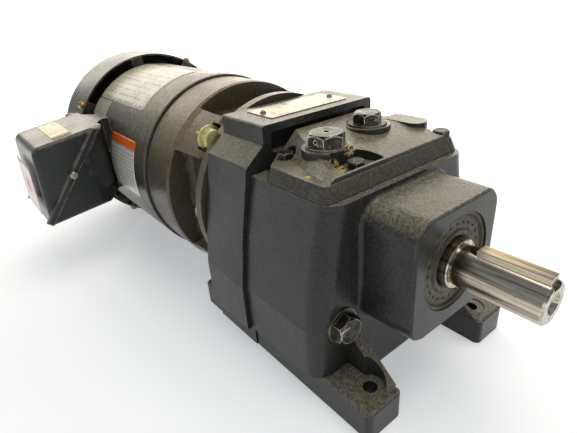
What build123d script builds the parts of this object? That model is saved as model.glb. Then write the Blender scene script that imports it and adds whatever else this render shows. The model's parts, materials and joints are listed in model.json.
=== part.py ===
from build123d import *
from math import acos, cos, hypot, pi, radians, sin, tan
import os

# Inline helical gear reducer with a C-face fan cooled motor, all sizes in millimetres.
#
# The sub-parts are drawn in a working frame: x runs along the shaft and is zero on the
# machined face of the nose, z is zero on the shaft axis.  Every part is moved at the end
# so that the origin is the centre of the foot bolt pattern on the foot plane.
# +X points out along the output shaft, +Z is up, -Y is the conduit box side.

# ---------------------------------------------------------------- driving dimensions
axis_height = 90.0
foot_hole_spacing_x = 155.0
foot_hole_spacing_y = 110.0
foot_hole_diameter = 9.0
foot_hole_setback = 15.0
foot_width_overall = 145.0

output_shaft_diameter = 25.0
output_shaft_length = 50.0
nose_half_width = 39.0
nose_depth = 37.0

housing_length = 110.0
rear_housing_length = 50.0
adapter_length = 86.0
motor_frame_radius = 84.0
motor_frame_length = 150.0
fan_cover_radius = 94.0
fan_cover_length = 68.0

gear_module = 1.5
input_pinion_teeth = 12
intermediate_gear_teeth = 46
intermediate_pinion_teeth = 13
output_gear_teeth = 45
pressure_angle = 25.0
helix_angle = 12.0

# ---------------------------------------------------------------- derived dimensions
gear_centre_distance = gear_module * (intermediate_pinion_teeth + output_gear_teeth) / 2
intermediate_z = -gear_centre_distance
foot_plane_z = -axis_height
foot_thickness = 20.0
foot_top_z = foot_plane_z + foot_thickness
foot_outer_y = foot_width_overall / 2
foot_inner_y = 43.0
foot_hole_y = foot_hole_spacing_y / 2
front_hole_x = -foot_hole_setback
rear_hole_x = front_hole_x - foot_hole_spacing_x
rear_foot_end_x = rear_hole_x - foot_hole_setback
origin_x = (front_hole_x + rear_hole_x) / 2

housing_front_x = -nose_depth
housing_rear_x = -housing_length
rear_housing_rear_x = housing_rear_x - rear_housing_length
adapter_rear_x = rear_housing_rear_x - adapter_length
motor_face_x = adapter_rear_x
motor_rear_x = motor_face_x - motor_frame_length

cover_seam_z = 43.0
wall = 8.0
gasket_thickness = 0.6
running_gap = 0.35
tap_radius = 2.6
m5_radius = 2.5
square_angles = (0, 90, 180, 270)
diagonal_angles = (45, 135, 225, 315)

seal_shaft_radius = 15.0
shoulder_x = 3.0
shaft_end_x = shoulder_x + output_shaft_length
output_shaft_radius = output_shaft_diameter / 2
output_key_width = 8.0
output_key_height = 7.0
output_key_length = 38.0
keyway_length = 45.0
keyway_depth = 4.0
output_key_end_gap = 2.0

part_nodes = {}


# ---------------------------------------------------------------- small shape helpers
def rod(radius, x_front, x_rear, y=0.0, z=0.0):
    """Round bar along the shaft direction."""
    middle = (x_front + x_rear) / 2
    bar = Cylinder(radius, abs(x_front - x_rear), rotation=(0, 90, 0))
    return Pos(middle, y, z) * bar


def ring(outer_radius, inner_radius, x_front, x_rear, y=0.0, z=0.0):
    """Flat ring along the shaft direction."""
    low = min(x_front, x_rear)
    high = max(x_front, x_rear)
    return rod(outer_radius, high, low, y, z) - rod(inner_radius, high + 1, low - 1, y, z)


def block(x_low, x_high, y_low, y_high, z_low, z_high):
    """Box given by its six limits."""
    box = Box(x_high - x_low, y_high - y_low, z_high - z_low)
    return Pos((x_low + x_high) / 2, (y_low + y_high) / 2, (z_low + z_high) / 2) * box


def turned(profile):
    """Solid of revolution about the shaft axis from (x, radius) points."""
    outline = Polyline(*[(x, radius) for x, radius in profile], close=True)
    face = make_face(Plane.XZ * outline)
    return revolve(face, Axis.X)


def prism_along_x(points, x_front, x_rear, corner_radius=0.0):
    """Prism whose (y, z) outline is given, running between two x positions."""
    outline = Polyline(*points, close=True)
    face = make_face(outline)
    if corner_radius > 0:
        face = fillet(face.vertices(), corner_radius)
    section = Plane(origin=(x_rear, 0, 0), x_dir=(0, 1, 0), z_dir=(1, 0, 0)) * face
    return extrude(section, x_front - x_rear)


def mirrored(points):
    """Closed symmetric outline from its +Y half, top to bottom."""
    return points + [(-y, z) for y, z in reversed(points)]


def edges_facing_front(solid, x, inside_radius=0.0):
    """Edges lying in the plane at x, outside a radius from the shaft axis."""
    chosen = []
    for edge in solid.edges().filter_by_position(Axis.X, x - 0.01, x + 0.01):
        centre = edge.center()
        if hypot(centre.Y, centre.Z) > inside_radius:
            chosen.append(edge)
    return chosen


def polar(radius, angle):
    """Point (y, z) at an angle in degrees about the shaft axis."""
    return radius * cos(radians(angle)), radius * sin(radians(angle))


def hex_bar(across_flats, height):
    """Hexagonal bar standing on the XY plane, with a turned crown on its top."""
    bar = extrude(RegularPolygon(across_flats / 2, 6, major_radius=False), height)
    crown = Pos(0, 0, height / 2) * Cone(across_flats / 2 + height, across_flats * 0.47, height)
    return bar & crown


def hex_bolt(across_flats, head_height, shank_radius, shank_length, washer_radius=0.0):
    """Bolt standing on the XY plane, head up, shank down, optional washer face."""
    bolt = hex_bar(across_flats, head_height)
    bolt += Pos(0, 0, -shank_length / 2) * Cylinder(shank_radius, shank_length)
    if washer_radius > 0:
        washer_height = 1.6
        bolt = Pos(0, 0, washer_height) * hex_bar(across_flats, head_height)
        bolt += Pos(0, 0, washer_height / 2) * Cylinder(washer_radius, washer_height)
        bolt += Pos(0, 0, -shank_length / 2) * Cylinder(shank_radius, shank_length)
    return bolt


def facing_front(shape, x, y, z):
    """Place a shape drawn along +Z so that it points along +X."""
    return Pos(x, y, z) * Rot(0, 90, 0) * shape


def facing_rear(shape, x, y, z):
    """Place a shape drawn along +Z so that it points along -X."""
    return Pos(x, y, z) * Rot(0, -90, 0) * shape


def save(name, *shapes):
    """Keep one node made of one or more separate solids."""
    solids = []
    for shape in shapes:
        solids.extend(shape.solids())
    part_nodes[name] = solids


# ---------------------------------------------------------------- gear housing
seam_half_width = 62.0
waist_half_width = 71.0
hip_half_width = 76.5
rail_top_z = -70.0


def case_outline(offset, bottom_z):
    """Half of the flared case section, from the cover seam down to the rail."""
    return [
        (seam_half_width + offset, cover_seam_z),
        (waist_half_width + offset, 3.0),
        (hip_half_width + offset, -36.0),
        (hip_half_width + offset, bottom_z),
    ]


def rail(x_front, x_rear, extra=0.0):
    """Base slab along the foot plane that carries the lugs."""
    half = foot_outer_y + extra
    return block(x_rear, x_front, -half, half, foot_plane_z, rail_top_z)


def foot_lug(x_front, x_rear, side):
    """Foot lug with rounded outer corners, its bolt hole and a spot face."""
    lug = block(x_rear, x_front, foot_inner_y, foot_outer_y, foot_plane_z, foot_top_z)
    outer_x = x_front if x_front > housing_front_x else x_rear
    corners = []
    for edge in lug.edges().filter_by(Axis.Z):
        if abs(edge.center().X - outer_x) < 0.01:
            corners.append(edge)
    lug = fillet(corners, 4.0)
    lug = chamfer(lug.faces().sort_by(Axis.Z)[-1].edges().filter_by(Axis.X), 1.5)
    return lug if side > 0 else mirror(lug, Plane.XZ)


def foot_holes(hole_x):
    """Two foot bolt holes with shallow spot faces at one end of the base."""
    cuts = []
    for side in (-1, 1):
        through = Cylinder(foot_hole_diameter / 2, 60)
        spot_face = Pos(0, 0, foot_top_z + 9.2) * Cylinder(9.5, 20)
        cuts.append(Pos(hole_x, side * foot_hole_y, 0) * spot_face)
        cuts.append(Pos(hole_x, side * foot_hole_y, foot_plane_z) * through)
    return cuts


bearing_front_radius = 31.0
bearing_front_x = -10.0
front_bearing_width = 16.0
output_gear_x = -64.0
output_gear_width = 22.0
web_front_x = -90.0
web_rear_x = -105.0
output_rear_bearing_radius = 26.0
output_rear_bearing_bore = 12.5
intermediate_bearing_radius = 17.5
intermediate_bearing_width = 11.0
intermediate_bearing_bore = 7.5
intermediate_front_bearing_x = -48.0
level_plug_y = 56.0
level_plug_z = -36.0
plug_hole_radius = 6.0
front_spot_x = housing_front_x - 0.4
nose_bore_radius = 26.0


def gear_housing():
    """Cast housing: flared case, nose, feet, bearing seats and the open top and rear."""
    outline = mirrored(case_outline(0.0, rail_top_z - 1.0))
    case = prism_along_x(outline, housing_front_x, housing_rear_x)
    corner_edges = []
    for edge in edges_facing_front(case, housing_front_x):
        if abs(edge.center().Y) > seam_half_width:
            corner_edges.append(edge)
    case = fillet(corner_edges, 12.0)
    base = rail(housing_front_x, housing_rear_x)
    base = fillet(base.edges().filter_by(Axis.Z).group_by(Axis.X)[-1], 9.0)
    body = case + base

    nose = Rectangle(2 * nose_half_width, 2 * nose_half_width)
    nose = fillet(nose.vertices(), 13.0)
    nose = Plane(origin=(0, 0, -2), x_dir=(0, 1, 0), z_dir=(1, 0, 0)) * nose
    nose = extrude(nose, -(nose_depth + 6), taper=-2.0)
    nose = chamfer(edges_facing_front(nose, 0, 20), 1.2)
    body += nose

    root_edges = []
    for edge in body.edges().filter_by_position(Axis.X, housing_front_x - 0.1, housing_front_x + 0.1):
        centre = edge.center()
        if max(abs(centre.Y), abs(centre.Z)) < cover_seam_z - 0.1:
            root_edges.append(edge)
    body = fillet(root_edges, 3.0)

    for side in (-1, 1):
        body += foot_lug(0.0, housing_front_x - 10, side)
    web = Polyline((housing_front_x, foot_top_z), (-5, foot_top_z), (housing_front_x, -44), close=True)
    gusset = extrude(Plane.XZ * make_face(web), 4.0, both=True)
    for side in (-1, 1):
        body += Pos(0, side * (foot_inner_y + 4.0), 0) * gusset

    for cut in foot_holes(front_hole_x):
        body -= cut

    inner = block(housing_rear_x - 1, housing_front_x - wall, -52, 52, -82, cover_seam_z + 1)
    inner = fillet(inner.edges().filter_by(Axis.Z), 8.0)
    body -= inner

    boss_rear_x = intermediate_front_bearing_x - intermediate_bearing_width - 1.0
    boss = ring(intermediate_bearing_radius + 6, 4, housing_front_x - 4, boss_rear_x, 0, intermediate_z)
    nose_boss = rod(bearing_front_radius + 6, housing_front_x, housing_front_x - wall - 5)
    room = block(boss_rear_x - 1, housing_front_x, -60, 60, foot_plane_z + 1, cover_seam_z)
    body += boss & room
    body += nose_boss & room
    for x, y in cover_screw_places:
        screw_boss = Pos(x, y, cover_seam_z - 7.5) * Cylinder(8.0, 15)
        body += screw_boss & block(housing_rear_x + 3, housing_front_x - 3, -58, 58, 0, cover_seam_z)
    bearing_web = block(web_rear_x, web_front_x, -53, 53, -83, cover_seam_z - 5)
    body += bearing_web
    passage = rod(intermediate_bearing_radius + 2, web_front_x + 1, web_rear_x - 1, 0, intermediate_z)
    body -= passage
    body -= rod(output_rear_bearing_radius, web_front_x + 1, web_rear_x - 1)
    body -= rod(bearing_front_radius, 1, bearing_front_x - front_bearing_width)
    body -= rod(nose_bore_radius, 0, housing_front_x - wall - 6)
    seat_front_x = intermediate_front_bearing_x + 1.0
    body -= rod(intermediate_bearing_radius, seat_front_x, boss_rear_x - 1, 0, intermediate_z)
    for side in (-1, 1):
        y = side * level_plug_y
        body -= rod(plug_hole_radius, housing_front_x + 17, housing_front_x - 23, y, level_plug_z)
        body -= rod(13.5, housing_front_x + 12, front_spot_x, y, level_plug_z)
    for x, y in cover_screw_places:
        body -= Pos(x, y, cover_seam_z - 6) * Cylinder(tap_radius, 20)
    for y, z in rear_bolt_places:
        body -= rod(tap_radius, housing_rear_x - 1, housing_rear_x + 16, y, z)
    return body


# ---------------------------------------------------------------- inspection cover
cover_front_x = -42.0
cover_rear_x = housing_rear_x + 2.5
cover_base_z = cover_seam_z + gasket_thickness
cover_flat_z = 52.0
cover_front_ridge_z = 54.5
cover_rear_ridge_z = 65.0
crown_slope = (cover_rear_ridge_z - cover_front_ridge_z) / (cover_front_x - cover_rear_x)
plug_one = (-76.0, -28.0)
plug_two = (-86.0, 19.0)
plug_thread_radius = 8.0
pocket_screw = (-55.0, -25.0)
cover_opening_front_x = -64.0
cover_screw_places = [(-99.0, -42.0), pocket_screw, (-52.0, 54.0), (-99.0, 52.0)]
rear_bolt_places = [(-56.0, 22.0), (56.0, 22.0), (-60.0, -60.0), (60.0, -60.0)]


def cover_outline(setback, corner):
    """Plan outline of the cover, its rear corners cut off."""
    half = seam_half_width - setback
    front = cover_front_x - setback
    rear = cover_rear_x
    points = [
        (front, -half),
        (front, half),
        (rear + 14, half),
        (rear, half - 16),
        (rear, -half + 16),
        (rear + 14, -half),
    ]
    face = make_face(Polyline(*points, close=True))
    return fillet(face.vertices(), corner)


def crown_height(x):
    """Height of the crowned cover top at a position along the shaft."""
    return cover_front_ridge_z + crown_slope * (cover_front_x - x)


def inspection_cover():
    """Cast lid: bevelled slab, crowned middle rising to the rear, screw pocket and bosses."""
    bottom = Pos(0, 0, cover_base_z) * cover_outline(0.0, 7.0)
    top = Pos(0, 0, cover_flat_z) * cover_outline(3.5, 4.0)
    cover = loft([bottom, top])

    buried_z = cover_flat_z - 2
    sections = []
    for x, base_left, base_right, ridge_right, ridge_left, ridge_z in (
        (cover_front_x - 4.5, -58, 58, 54, -50, cover_front_ridge_z),
        (cover_rear_x, -42, 50, 30, -26, cover_rear_ridge_z),
    ):
        base_line = [(base_left, buried_z), (base_right, buried_z)]
        ridge_line = [(ridge_right, ridge_z), (ridge_left, ridge_z)]
        face = make_face(Polyline(*base_line, *ridge_line, close=True))
        sections.append(Plane(origin=(x, 0, 0), x_dir=(0, 1, 0), z_dir=(1, 0, 0)) * face)
    cover += loft(sections, ruled=True)
    cover += Pos(-80, 50, cover_flat_z) * extrude(SlotOverall(36, 16), 8.5)

    for x, y in (plug_one, plug_two):
        seat = Pos(x, y, crown_height(x) - 4) * Cylinder(15.5, 10)
        cover += seat
        cover -= Pos(x, y, crown_height(x) + 11) * Cylinder(14.0, 20)
    pocket_x, pocket_y = pocket_screw
    pocket = Pos(pocket_x + 3, pocket_y, cover_flat_z + 9) * Cylinder(17.0, 20)
    cover -= pocket & block(pocket_x - 10, pocket_x + 7, -60, 0, 40, 80)
    hollow = block(cover_rear_x + 12, cover_opening_front_x, -46, 46, cover_base_z - 1, cover_flat_z - 6)
    cover -= fillet(hollow.edges().filter_by(Axis.Z), 6.0)
    for x, y in (plug_one, plug_two):
        cover -= Pos(x, y, crown_height(x)) * Cylinder(plug_thread_radius, 40)
    for x, y in cover_screw_places:
        cover -= Pos(x, y, cover_flat_z) * Cylinder(3.0, 60)
        cover -= Pos(x, y, cover_flat_z + 10) * Cylinder(7.0, 20)
    return cover


def cover_gasket():
    """Thin sheet gasket under the cover."""
    sheet = extrude(Pos(0, 0, cover_seam_z) * cover_outline(0.6, 6.5), gasket_thickness)
    opening = block(cover_rear_x + 10, cover_opening_front_x, -48, 48, cover_seam_z - 1, cover_base_z + 1)
    sheet -= fillet(opening.edges().filter_by(Axis.Z), 6.0)
    for x, y in cover_screw_places:
        sheet -= Pos(x, y, cover_base_z) * Cylinder(3.0, 10)
    return sheet


def cover_screws():
    """Hex head screws of the inspection cover."""
    shapes = []
    for x, y in cover_screw_places:
        screw = hex_bolt(10.0, 4.2, m5_radius, 16.0)
        shapes.append(Pos(x, y, cover_flat_z) * Rot(0, 0, 17) * screw)
    return shapes


def cover_plug(place, across_flats, head_height, turn, vented):
    """Hex plug screwed into the cover; the breather has a vent hole through its head."""
    x, y = place
    seat_z = crown_height(x) + 1.0 + washer_thickness
    plug = hex_bar(across_flats, head_height)
    plug += Pos(0, 0, -washer_thickness) * Cylinder(plug_thread_radius + 0.9, 2 * washer_thickness)
    plug = plug & Pos(0, 0, head_height / 2) * Cylinder(across_flats, head_height)
    plug += Pos(0, 0, -7) * Cylinder(plug_thread_radius, 14)
    if vented:
        plug -= Pos(0, 0, -3) * Cylinder(2.0, 26)
        plug -= Pos(0, 0, head_height * 0.45) * Rot(90, 0, 0) * Cylinder(1.0, across_flats * 2)
    return Pos(x, y, seat_z) * Rot(0, 0, turn) * plug


washer_thickness = 1.5


def plug_washers():
    """Sealing washers under the two cover plugs and the two front plugs."""
    shapes = []
    for x, y in (plug_one, plug_two):
        washer = Cylinder(13.0, washer_thickness) - Cylinder(plug_thread_radius, 10)
        shapes.append(Pos(x, y, crown_height(x) + 1.0 + washer_thickness / 2) * washer)
    for side in (-1, 1):
        y = side * level_plug_y
        front = front_spot_x + washer_thickness
        shapes.append(ring(11.5, plug_hole_radius, front, front_spot_x, y, level_plug_z))
    return shapes


def front_plug(side):
    """Hex head oil plug on the front wall beside the nose."""
    plug = hex_bar(17.0, 7.0) + Pos(0, 0, -8) * Cylinder(plug_hole_radius, 16)
    face_x = front_spot_x + washer_thickness
    return facing_front(plug, face_x, side * level_plug_y, level_plug_z)


# ---------------------------------------------------------------- rear housing
pad_half_width = 50.0
pad_top_z = 72.0
pad_front_x = housing_rear_x + 1.0
input_bearing_radius = 23.5
input_bearing_width = 14.0
input_bearing_bore = 10.0
input_shaft_rear_x = -205.0
input_key_front_x = -191.5
input_key_width = 6.0
intermediate_rear_bearing_x = -136.0
input_front_bearing_x = -134.0
input_seal_x = -149.0
adapter_spigot_radius = 45.0
chamber_rear_x = -132.0
adapter_bolt_circle = 68.0
adapter_bolt_radius = 3.4


def rear_housing():
    """Rear case section with sloping shoulders, a raised name plate pad and rear feet."""
    half = [(pad_half_width, pad_top_z), (pad_half_width, 60.0), (seam_half_width + 3.0, 48.0)]
    half += case_outline(2.8, rail_top_z - 3.0)[1:]
    front_x = housing_rear_x - gasket_thickness
    body = prism_along_x(mirrored(half), front_x, rear_housing_rear_x, 2.5)
    rear_edges = []
    for edge in edges_facing_front(body, rear_housing_rear_x):
        if edge.center().Z > rail_top_z:
            rear_edges.append(edge)
    body = fillet(rear_edges, 2.4)
    body += rail(front_x, rear_housing_rear_x, 1.0)
    for side in (-1, 1):
        body += foot_lug(rear_housing_rear_x + 10, rear_foot_end_x, side)
    for cut in foot_holes(rear_hole_x):
        body -= cut

    chamber = block(chamber_rear_x, front_x + 1, -46, 46, -82, 50)
    body -= fillet(chamber.edges().filter_by(Axis.X), 12.0)
    recess = block(front_x - 7, front_x + 1, -pad_half_width + 6, pad_half_width - 6, 53, pad_top_z - 5)
    body -= fillet(recess.edges().filter_by(Axis.X), 3.0)
    body -= rod(input_bearing_radius, chamber_rear_x + 2, input_seal_x - 8)
    body -= rod(14.0, chamber_rear_x + 2, rear_housing_rear_x - 1)
    seat_rear_x = intermediate_rear_bearing_x - intermediate_bearing_width
    body -= rod(intermediate_bearing_radius, chamber_rear_x + 2, seat_rear_x, 0, intermediate_z)
    body -= rod(adapter_spigot_radius, rear_housing_rear_x + 2.0, rear_housing_rear_x - 1)
    for y, z in rear_bolt_places:
        body -= rod(3.3, front_x + 1, rear_housing_rear_x - 1, y, z)
    for angle in square_angles:
        y, z = polar(adapter_bolt_circle, angle)
        body -= rod(adapter_bolt_radius + 0.2, rear_housing_rear_x + 12, rear_housing_rear_x - 1, y, z)
    for x, y in plate_rivets:
        body -= Pos(x, y, pad_top_z) * Cylinder(1.2, 14)
    return body


plate_length = 30.0
plate_width = 70.0
plate_thickness = 0.6
plate_centre_x = rear_housing_rear_x + 25.0
plate_rivets = [(plate_centre_x, -31.0), (plate_centre_x, 31.0)]


def rear_gasket():
    """Sheet gasket between the two housing sections."""
    rail_half_width = foot_outer_y - 1.0
    half = case_outline(-1.0, rail_top_z)
    half += [(rail_half_width, rail_top_z), (rail_half_width, foot_plane_z + 1.0)]
    front_x = housing_rear_x
    rear_x = housing_rear_x - gasket_thickness
    sheet = prism_along_x(mirrored(half), front_x, rear_x)
    window = block(rear_x - 1, front_x + 1, -50, 50, -82, 38)
    sheet -= fillet(window.edges().filter_by(Axis.X), 12.0)
    for y, z in rear_bolt_places:
        sheet -= rod(3.3, front_x + 1, rear_x - 1, y, z)
    return sheet


def rear_housing_bolts():
    """Long bolts holding the rear section to the gear housing, heads at the rear."""
    shapes = []
    for y, z in rear_bolt_places:
        bolt = hex_bolt(10.0, 5.0, m5_radius, rear_housing_length + gasket_thickness + 14.0)
        shapes.append(facing_rear(bolt, rear_housing_rear_x, y, z))
    return shapes


def name_plate():
    """Blank metal plate riveted to the raised pad."""
    plate = Rectangle(plate_length, plate_width)
    plate = fillet(plate.vertices(), 2.0)
    plate = extrude(Pos(plate_centre_x, 0, pad_top_z) * plate, plate_thickness)
    for x, y in plate_rivets:
        plate -= Pos(x, y, pad_top_z) * Cylinder(1.2, 14)
    return plate


def name_plate_rivets():
    """Drive rivets of the name plate."""
    shapes = []
    for x, y in plate_rivets:
        rivet = Cylinder(1.2, 6)
        head = Pos(0, 0, 3) * Sphere(2.2)
        head = head & Pos(0, 0, 3 + 1.1) * Cylinder(3, 2.2)
        shapes.append(Pos(x, y, pad_top_z + plate_thickness - 3) * (rivet + head))
    return shapes


# ---------------------------------------------------------------- gears
def involute_angle(base_radius, radius):
    """Involute function angle, in radians, at a radius."""
    if radius <= base_radius:
        return 0.0
    alpha = acos(base_radius / radius)
    return tan(alpha) - alpha


def tooth_points(teeth, backlash=0.2):
    """One tooth flank to flank as (radius, angle) pairs, centred on angle zero."""
    pitch_radius = gear_module * teeth / 2
    base_radius = pitch_radius * cos(radians(pressure_angle))
    tip_radius = pitch_radius + 0.85 * gear_module
    root_radius = pitch_radius - 1.25 * gear_module
    half_at_pitch = (pi * gear_module / 2 - backlash) / (2 * pitch_radius)
    half_at_base = half_at_pitch + involute_angle(base_radius, pitch_radius)
    start = max(base_radius, root_radius + 0.15)
    steps = 3
    rise = []
    rise.append((root_radius, -half_at_base))
    for step in range(steps + 1):
        radius = start + (tip_radius - start) * step / steps
        rise.append((radius, -(half_at_base - involute_angle(base_radius, radius))))
    fall = [(radius, -angle) for radius, angle in reversed(rise)]
    return rise + fall


def gear_blank(teeth, x_front, width, hand, turn, z):
    """Helical gear body; hand is +1 or -1, turn is the angle of tooth zero in degrees."""
    pitch_radius = gear_module * teeth / 2
    twist = hand * width * tan(radians(helix_angle)) / pitch_radius
    flank = tooth_points(teeth)
    faces = []
    slices = 3
    for slice_number in range(slices + 1):
        share = slice_number / slices
        points = []
        for tooth in range(teeth):
            centre = radians(turn) + 2 * pi * tooth / teeth + twist * (share - 0.5)
            for radius, angle in flank:
                points.append((radius * cos(centre + angle), radius * sin(centre + angle)))
        face = make_face(Polyline(*points, close=True))
        plane = Plane(origin=(x_front - width * share, 0, z), x_dir=(0, 1, 0), z_dir=(1, 0, 0))
        faces.append(plane * face)
    return loft(faces, ruled=True)


output_gear_rear_x = output_gear_x - output_gear_width
intermediate_gear_x = -113.0
intermediate_gear_width = 17.0
output_gear_bore = 16.0
gear_key_bottom = output_gear_bore - 4
collar_front_x = -27.0
intermediate_gear_bore = 11.0
intermediate_key_width = 6.0
intermediate_key_front_x = intermediate_gear_x - 1.5
intermediate_key_rear_x = intermediate_gear_x - 15.5
intermediate_key_bottom = intermediate_z + 7.5
coupling_key_bottom = 6.5
half_turn = 180.0


def output_gear():
    """Large helical gear keyed to the output shaft."""
    first_tooth = -90.0
    gear = gear_blank(output_gear_teeth, output_gear_x, output_gear_width, 1, first_tooth, 0.0)
    gear -= rod(output_gear_bore, output_gear_x + 1, output_gear_rear_x - 1)
    gear -= ring(29.0, 21.0, output_gear_x + 1, output_gear_x - 4)
    gear -= ring(29.0, 21.0, output_gear_rear_x - 1, output_gear_rear_x + 4)
    half = output_key_width / 2
    gear -= block(output_gear_rear_x - 1, output_gear_x + 1, -half, half, 10, output_gear_bore + 2.5)
    return gear


def intermediate_gear():
    """Large helical gear of the first stage, keyed to the intermediate shaft."""
    first_tooth = 90.0
    rear_x = intermediate_gear_x - intermediate_gear_width
    gear = gear_blank(intermediate_gear_teeth, intermediate_gear_x, intermediate_gear_width, 1,
                      first_tooth, intermediate_z)
    gear -= rod(intermediate_gear_bore, intermediate_gear_x + 1, rear_x - 1, 0, intermediate_z)
    gear -= ring(29.0, 17.0, intermediate_gear_x + 1, intermediate_gear_x - 3.5, 0, intermediate_z)
    half = intermediate_key_width / 2
    key_top = intermediate_z + intermediate_gear_bore + 2.2
    gear -= block(rear_x - 1, intermediate_gear_x + 1, -half, half, intermediate_z + 6, key_top)
    return gear


def intermediate_shaft():
    """Intermediate shaft with its pinion cut in one piece."""
    pinion_first_tooth = 90.0 + half_turn / intermediate_pinion_teeth
    front_x = intermediate_front_bearing_x - 0.5
    front_shoulder_x = front_x - intermediate_bearing_width
    pinion_root_radius = 7.8
    body_front_x = output_gear_rear_x - 1.5
    body_radius = 12.5
    gear_front_x = intermediate_gear_x + 0.2
    gear_rear_x = intermediate_gear_x - intermediate_gear_width - 0.2
    rear_shoulder_x = intermediate_rear_bearing_x + 0.5
    rear_shoulder_radius = 9.5
    rear_x = intermediate_rear_bearing_x - intermediate_bearing_width
    shaft = turned([
        (front_x, 0), (front_x, intermediate_bearing_bore), (front_shoulder_x, intermediate_bearing_bore),
        (front_shoulder_x, pinion_root_radius), (body_front_x, pinion_root_radius),
        (body_front_x, body_radius), (gear_front_x, body_radius), (gear_front_x, intermediate_gear_bore),
        (gear_rear_x, intermediate_gear_bore), (gear_rear_x, rear_shoulder_radius),
        (rear_shoulder_x, rear_shoulder_radius), (rear_shoulder_x, intermediate_bearing_bore),
        (rear_x, intermediate_bearing_bore), (rear_x, 0),
    ])
    shaft = Pos(0, 0, intermediate_z) * shaft
    pinion = gear_blank(intermediate_pinion_teeth, output_gear_x + 1.5, output_gear_width + 3, -1,
                        pinion_first_tooth, intermediate_z)
    shaft += pinion
    half = intermediate_key_width / 2
    keyway_rear_x = intermediate_key_rear_x - 0.5
    keyway_front_x = intermediate_key_front_x + 0.5
    shaft -= block(keyway_rear_x, keyway_front_x, -half, half, intermediate_key_bottom, intermediate_z + 20)
    return shaft


def input_shaft():
    """Input shaft with the first stage pinion at its front end."""
    pinion_first_tooth = -90.0 + half_turn / input_pinion_teeth
    front_x = intermediate_gear_x + 2.5
    root_radius = 6.6
    shoulder_radius = 12.5
    rear_x = input_shaft_rear_x
    shaft = turned([
        (front_x, 0), (front_x, root_radius - 1.6), (front_x - 1, root_radius),
        (input_front_bearing_x + 2.5, root_radius),
        (input_front_bearing_x + 0.5, shoulder_radius), (input_front_bearing_x, shoulder_radius),
        (input_front_bearing_x, input_bearing_bore), (rear_x + 1, input_bearing_bore),
        (rear_x, input_bearing_bore - 1), (rear_x, 0),
    ])
    pinion = gear_blank(input_pinion_teeth, intermediate_gear_x + 1.5, intermediate_gear_width + 3, -1,
                        pinion_first_tooth, 0.0)
    shaft += pinion
    half = input_key_width / 2
    shaft -= block(rear_x - 1, input_key_front_x + 0.5, -half, half, coupling_key_bottom, 12)
    return shaft


# ---------------------------------------------------------------- output shaft line
def output_shaft():
    """Stepped output shaft with a closed keyway, chamfered end and tapped centre hole."""
    shaft = turned([
        (shaft_end_x, 0), (shaft_end_x, output_shaft_radius - 1.2),
        (shaft_end_x - 1.2, output_shaft_radius),
        (shoulder_x, output_shaft_radius), (shoulder_x, seal_shaft_radius - 0.6),
        (shoulder_x - 0.6, seal_shaft_radius), (collar_front_x + 1, seal_shaft_radius),
        (collar_front_x, output_gear_bore), (output_gear_rear_x, output_gear_bore),
        (output_gear_rear_x, output_rear_bearing_bore), (web_rear_x, output_rear_bearing_bore),
        (web_rear_x, 0),
    ])
    keyway = SlotOverall(2 * keyway_length, output_key_width)
    keyway = Pos(shaft_end_x, 0, output_shaft_radius - keyway_depth) * keyway
    shaft -= extrude(keyway, 8.0)
    shaft -= rod(4.25, shaft_end_x + 1, shaft_end_x - 24)
    shaft -= turned([(shaft_end_x + 0.5, 0), (shaft_end_x + 0.5, 7.3), (shaft_end_x - 2.8, 4.25),
                     (shaft_end_x - 2.8, 0)])
    half = output_key_width / 2
    slot_rear_x = output_gear_rear_x + 2
    slot_front_x = output_gear_x - 2
    shaft -= block(slot_rear_x, slot_front_x, -half, half, gear_key_bottom, output_gear_bore + 4)
    return shaft


def output_key():
    """Parallel key standing proud of the output shaft."""
    key_end_x = shaft_end_x - output_key_end_gap
    bottom = output_shaft_radius - keyway_depth
    half = output_key_width / 2
    key = block(key_end_x - output_key_length, key_end_x, -half, half, bottom, bottom + output_key_height)
    return chamfer(key.faces().sort_by(Axis.Z)[-1].edges(), 0.4)


def bearing(bore_radius, outer_radius, width, x_front, z=0.0):
    """Deep groove ball bearing as its outer ring and its inner ring with balls."""
    x_rear = x_front - width
    middle = (x_front + x_rear) / 2
    pitch = (bore_radius + outer_radius) / 2
    gap = outer_radius - bore_radius
    ball_radius = gap * 0.27
    outer = ring(outer_radius, outer_radius - gap * 0.28, x_front, x_rear, 0, z)
    inner = ring(bore_radius + gap * 0.28, bore_radius, x_front, x_rear, 0, z)
    groove = Pos(middle, 0, z) * Rot(0, 90, 0) * Torus(pitch, ball_radius + running_gap)
    outer -= groove
    inner -= Pos(middle, 0, z) * Rot(0, 90, 0) * Torus(pitch, ball_radius + 0.02)
    count = int(2 * pi * pitch / (ball_radius * 2.7))
    balls = []
    for number in range(count):
        y, ball_z = polar(pitch, 360 * number / count)
        balls.append(Pos(middle, y, z + ball_z) * Sphere(ball_radius))
    return outer, inner, balls


def output_seal():
    """Metal cased lip seal in the nose, with a ring of small pips around its face."""
    face_x = -1.2
    case = turned([
        (face_x, bearing_front_radius), (face_x, bearing_front_radius - 2.0),
        (face_x - 1.2, bearing_front_radius - 3.0), (face_x - 1.2, 20.5),
        (face_x - 0.4, 19.5), (face_x - 0.4, 17.0),
        (face_x - 1.6, seal_shaft_radius + running_gap),
        (face_x - 6.8, seal_shaft_radius + running_gap + 1.5),
        (face_x - 6.8, bearing_front_radius),
    ])
    pip_count = 24
    for number in range(pip_count):
        y, z = polar(24.0, 360 / pip_count * number)
        case -= Pos(face_x - 1.2, y, z) * Sphere(0.9)
    return case


def output_spacer():
    """Distance sleeve between the front bearing and the output gear."""
    return ring(20.0, output_gear_bore, -27.2, output_gear_x + 0.1)


def shaft_key(x_low, x_high, width, bottom_z, top_z):
    """Square ended key lying along the shaft."""
    return block(x_low, x_high, -width / 2, width / 2, bottom_z, top_z)


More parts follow.
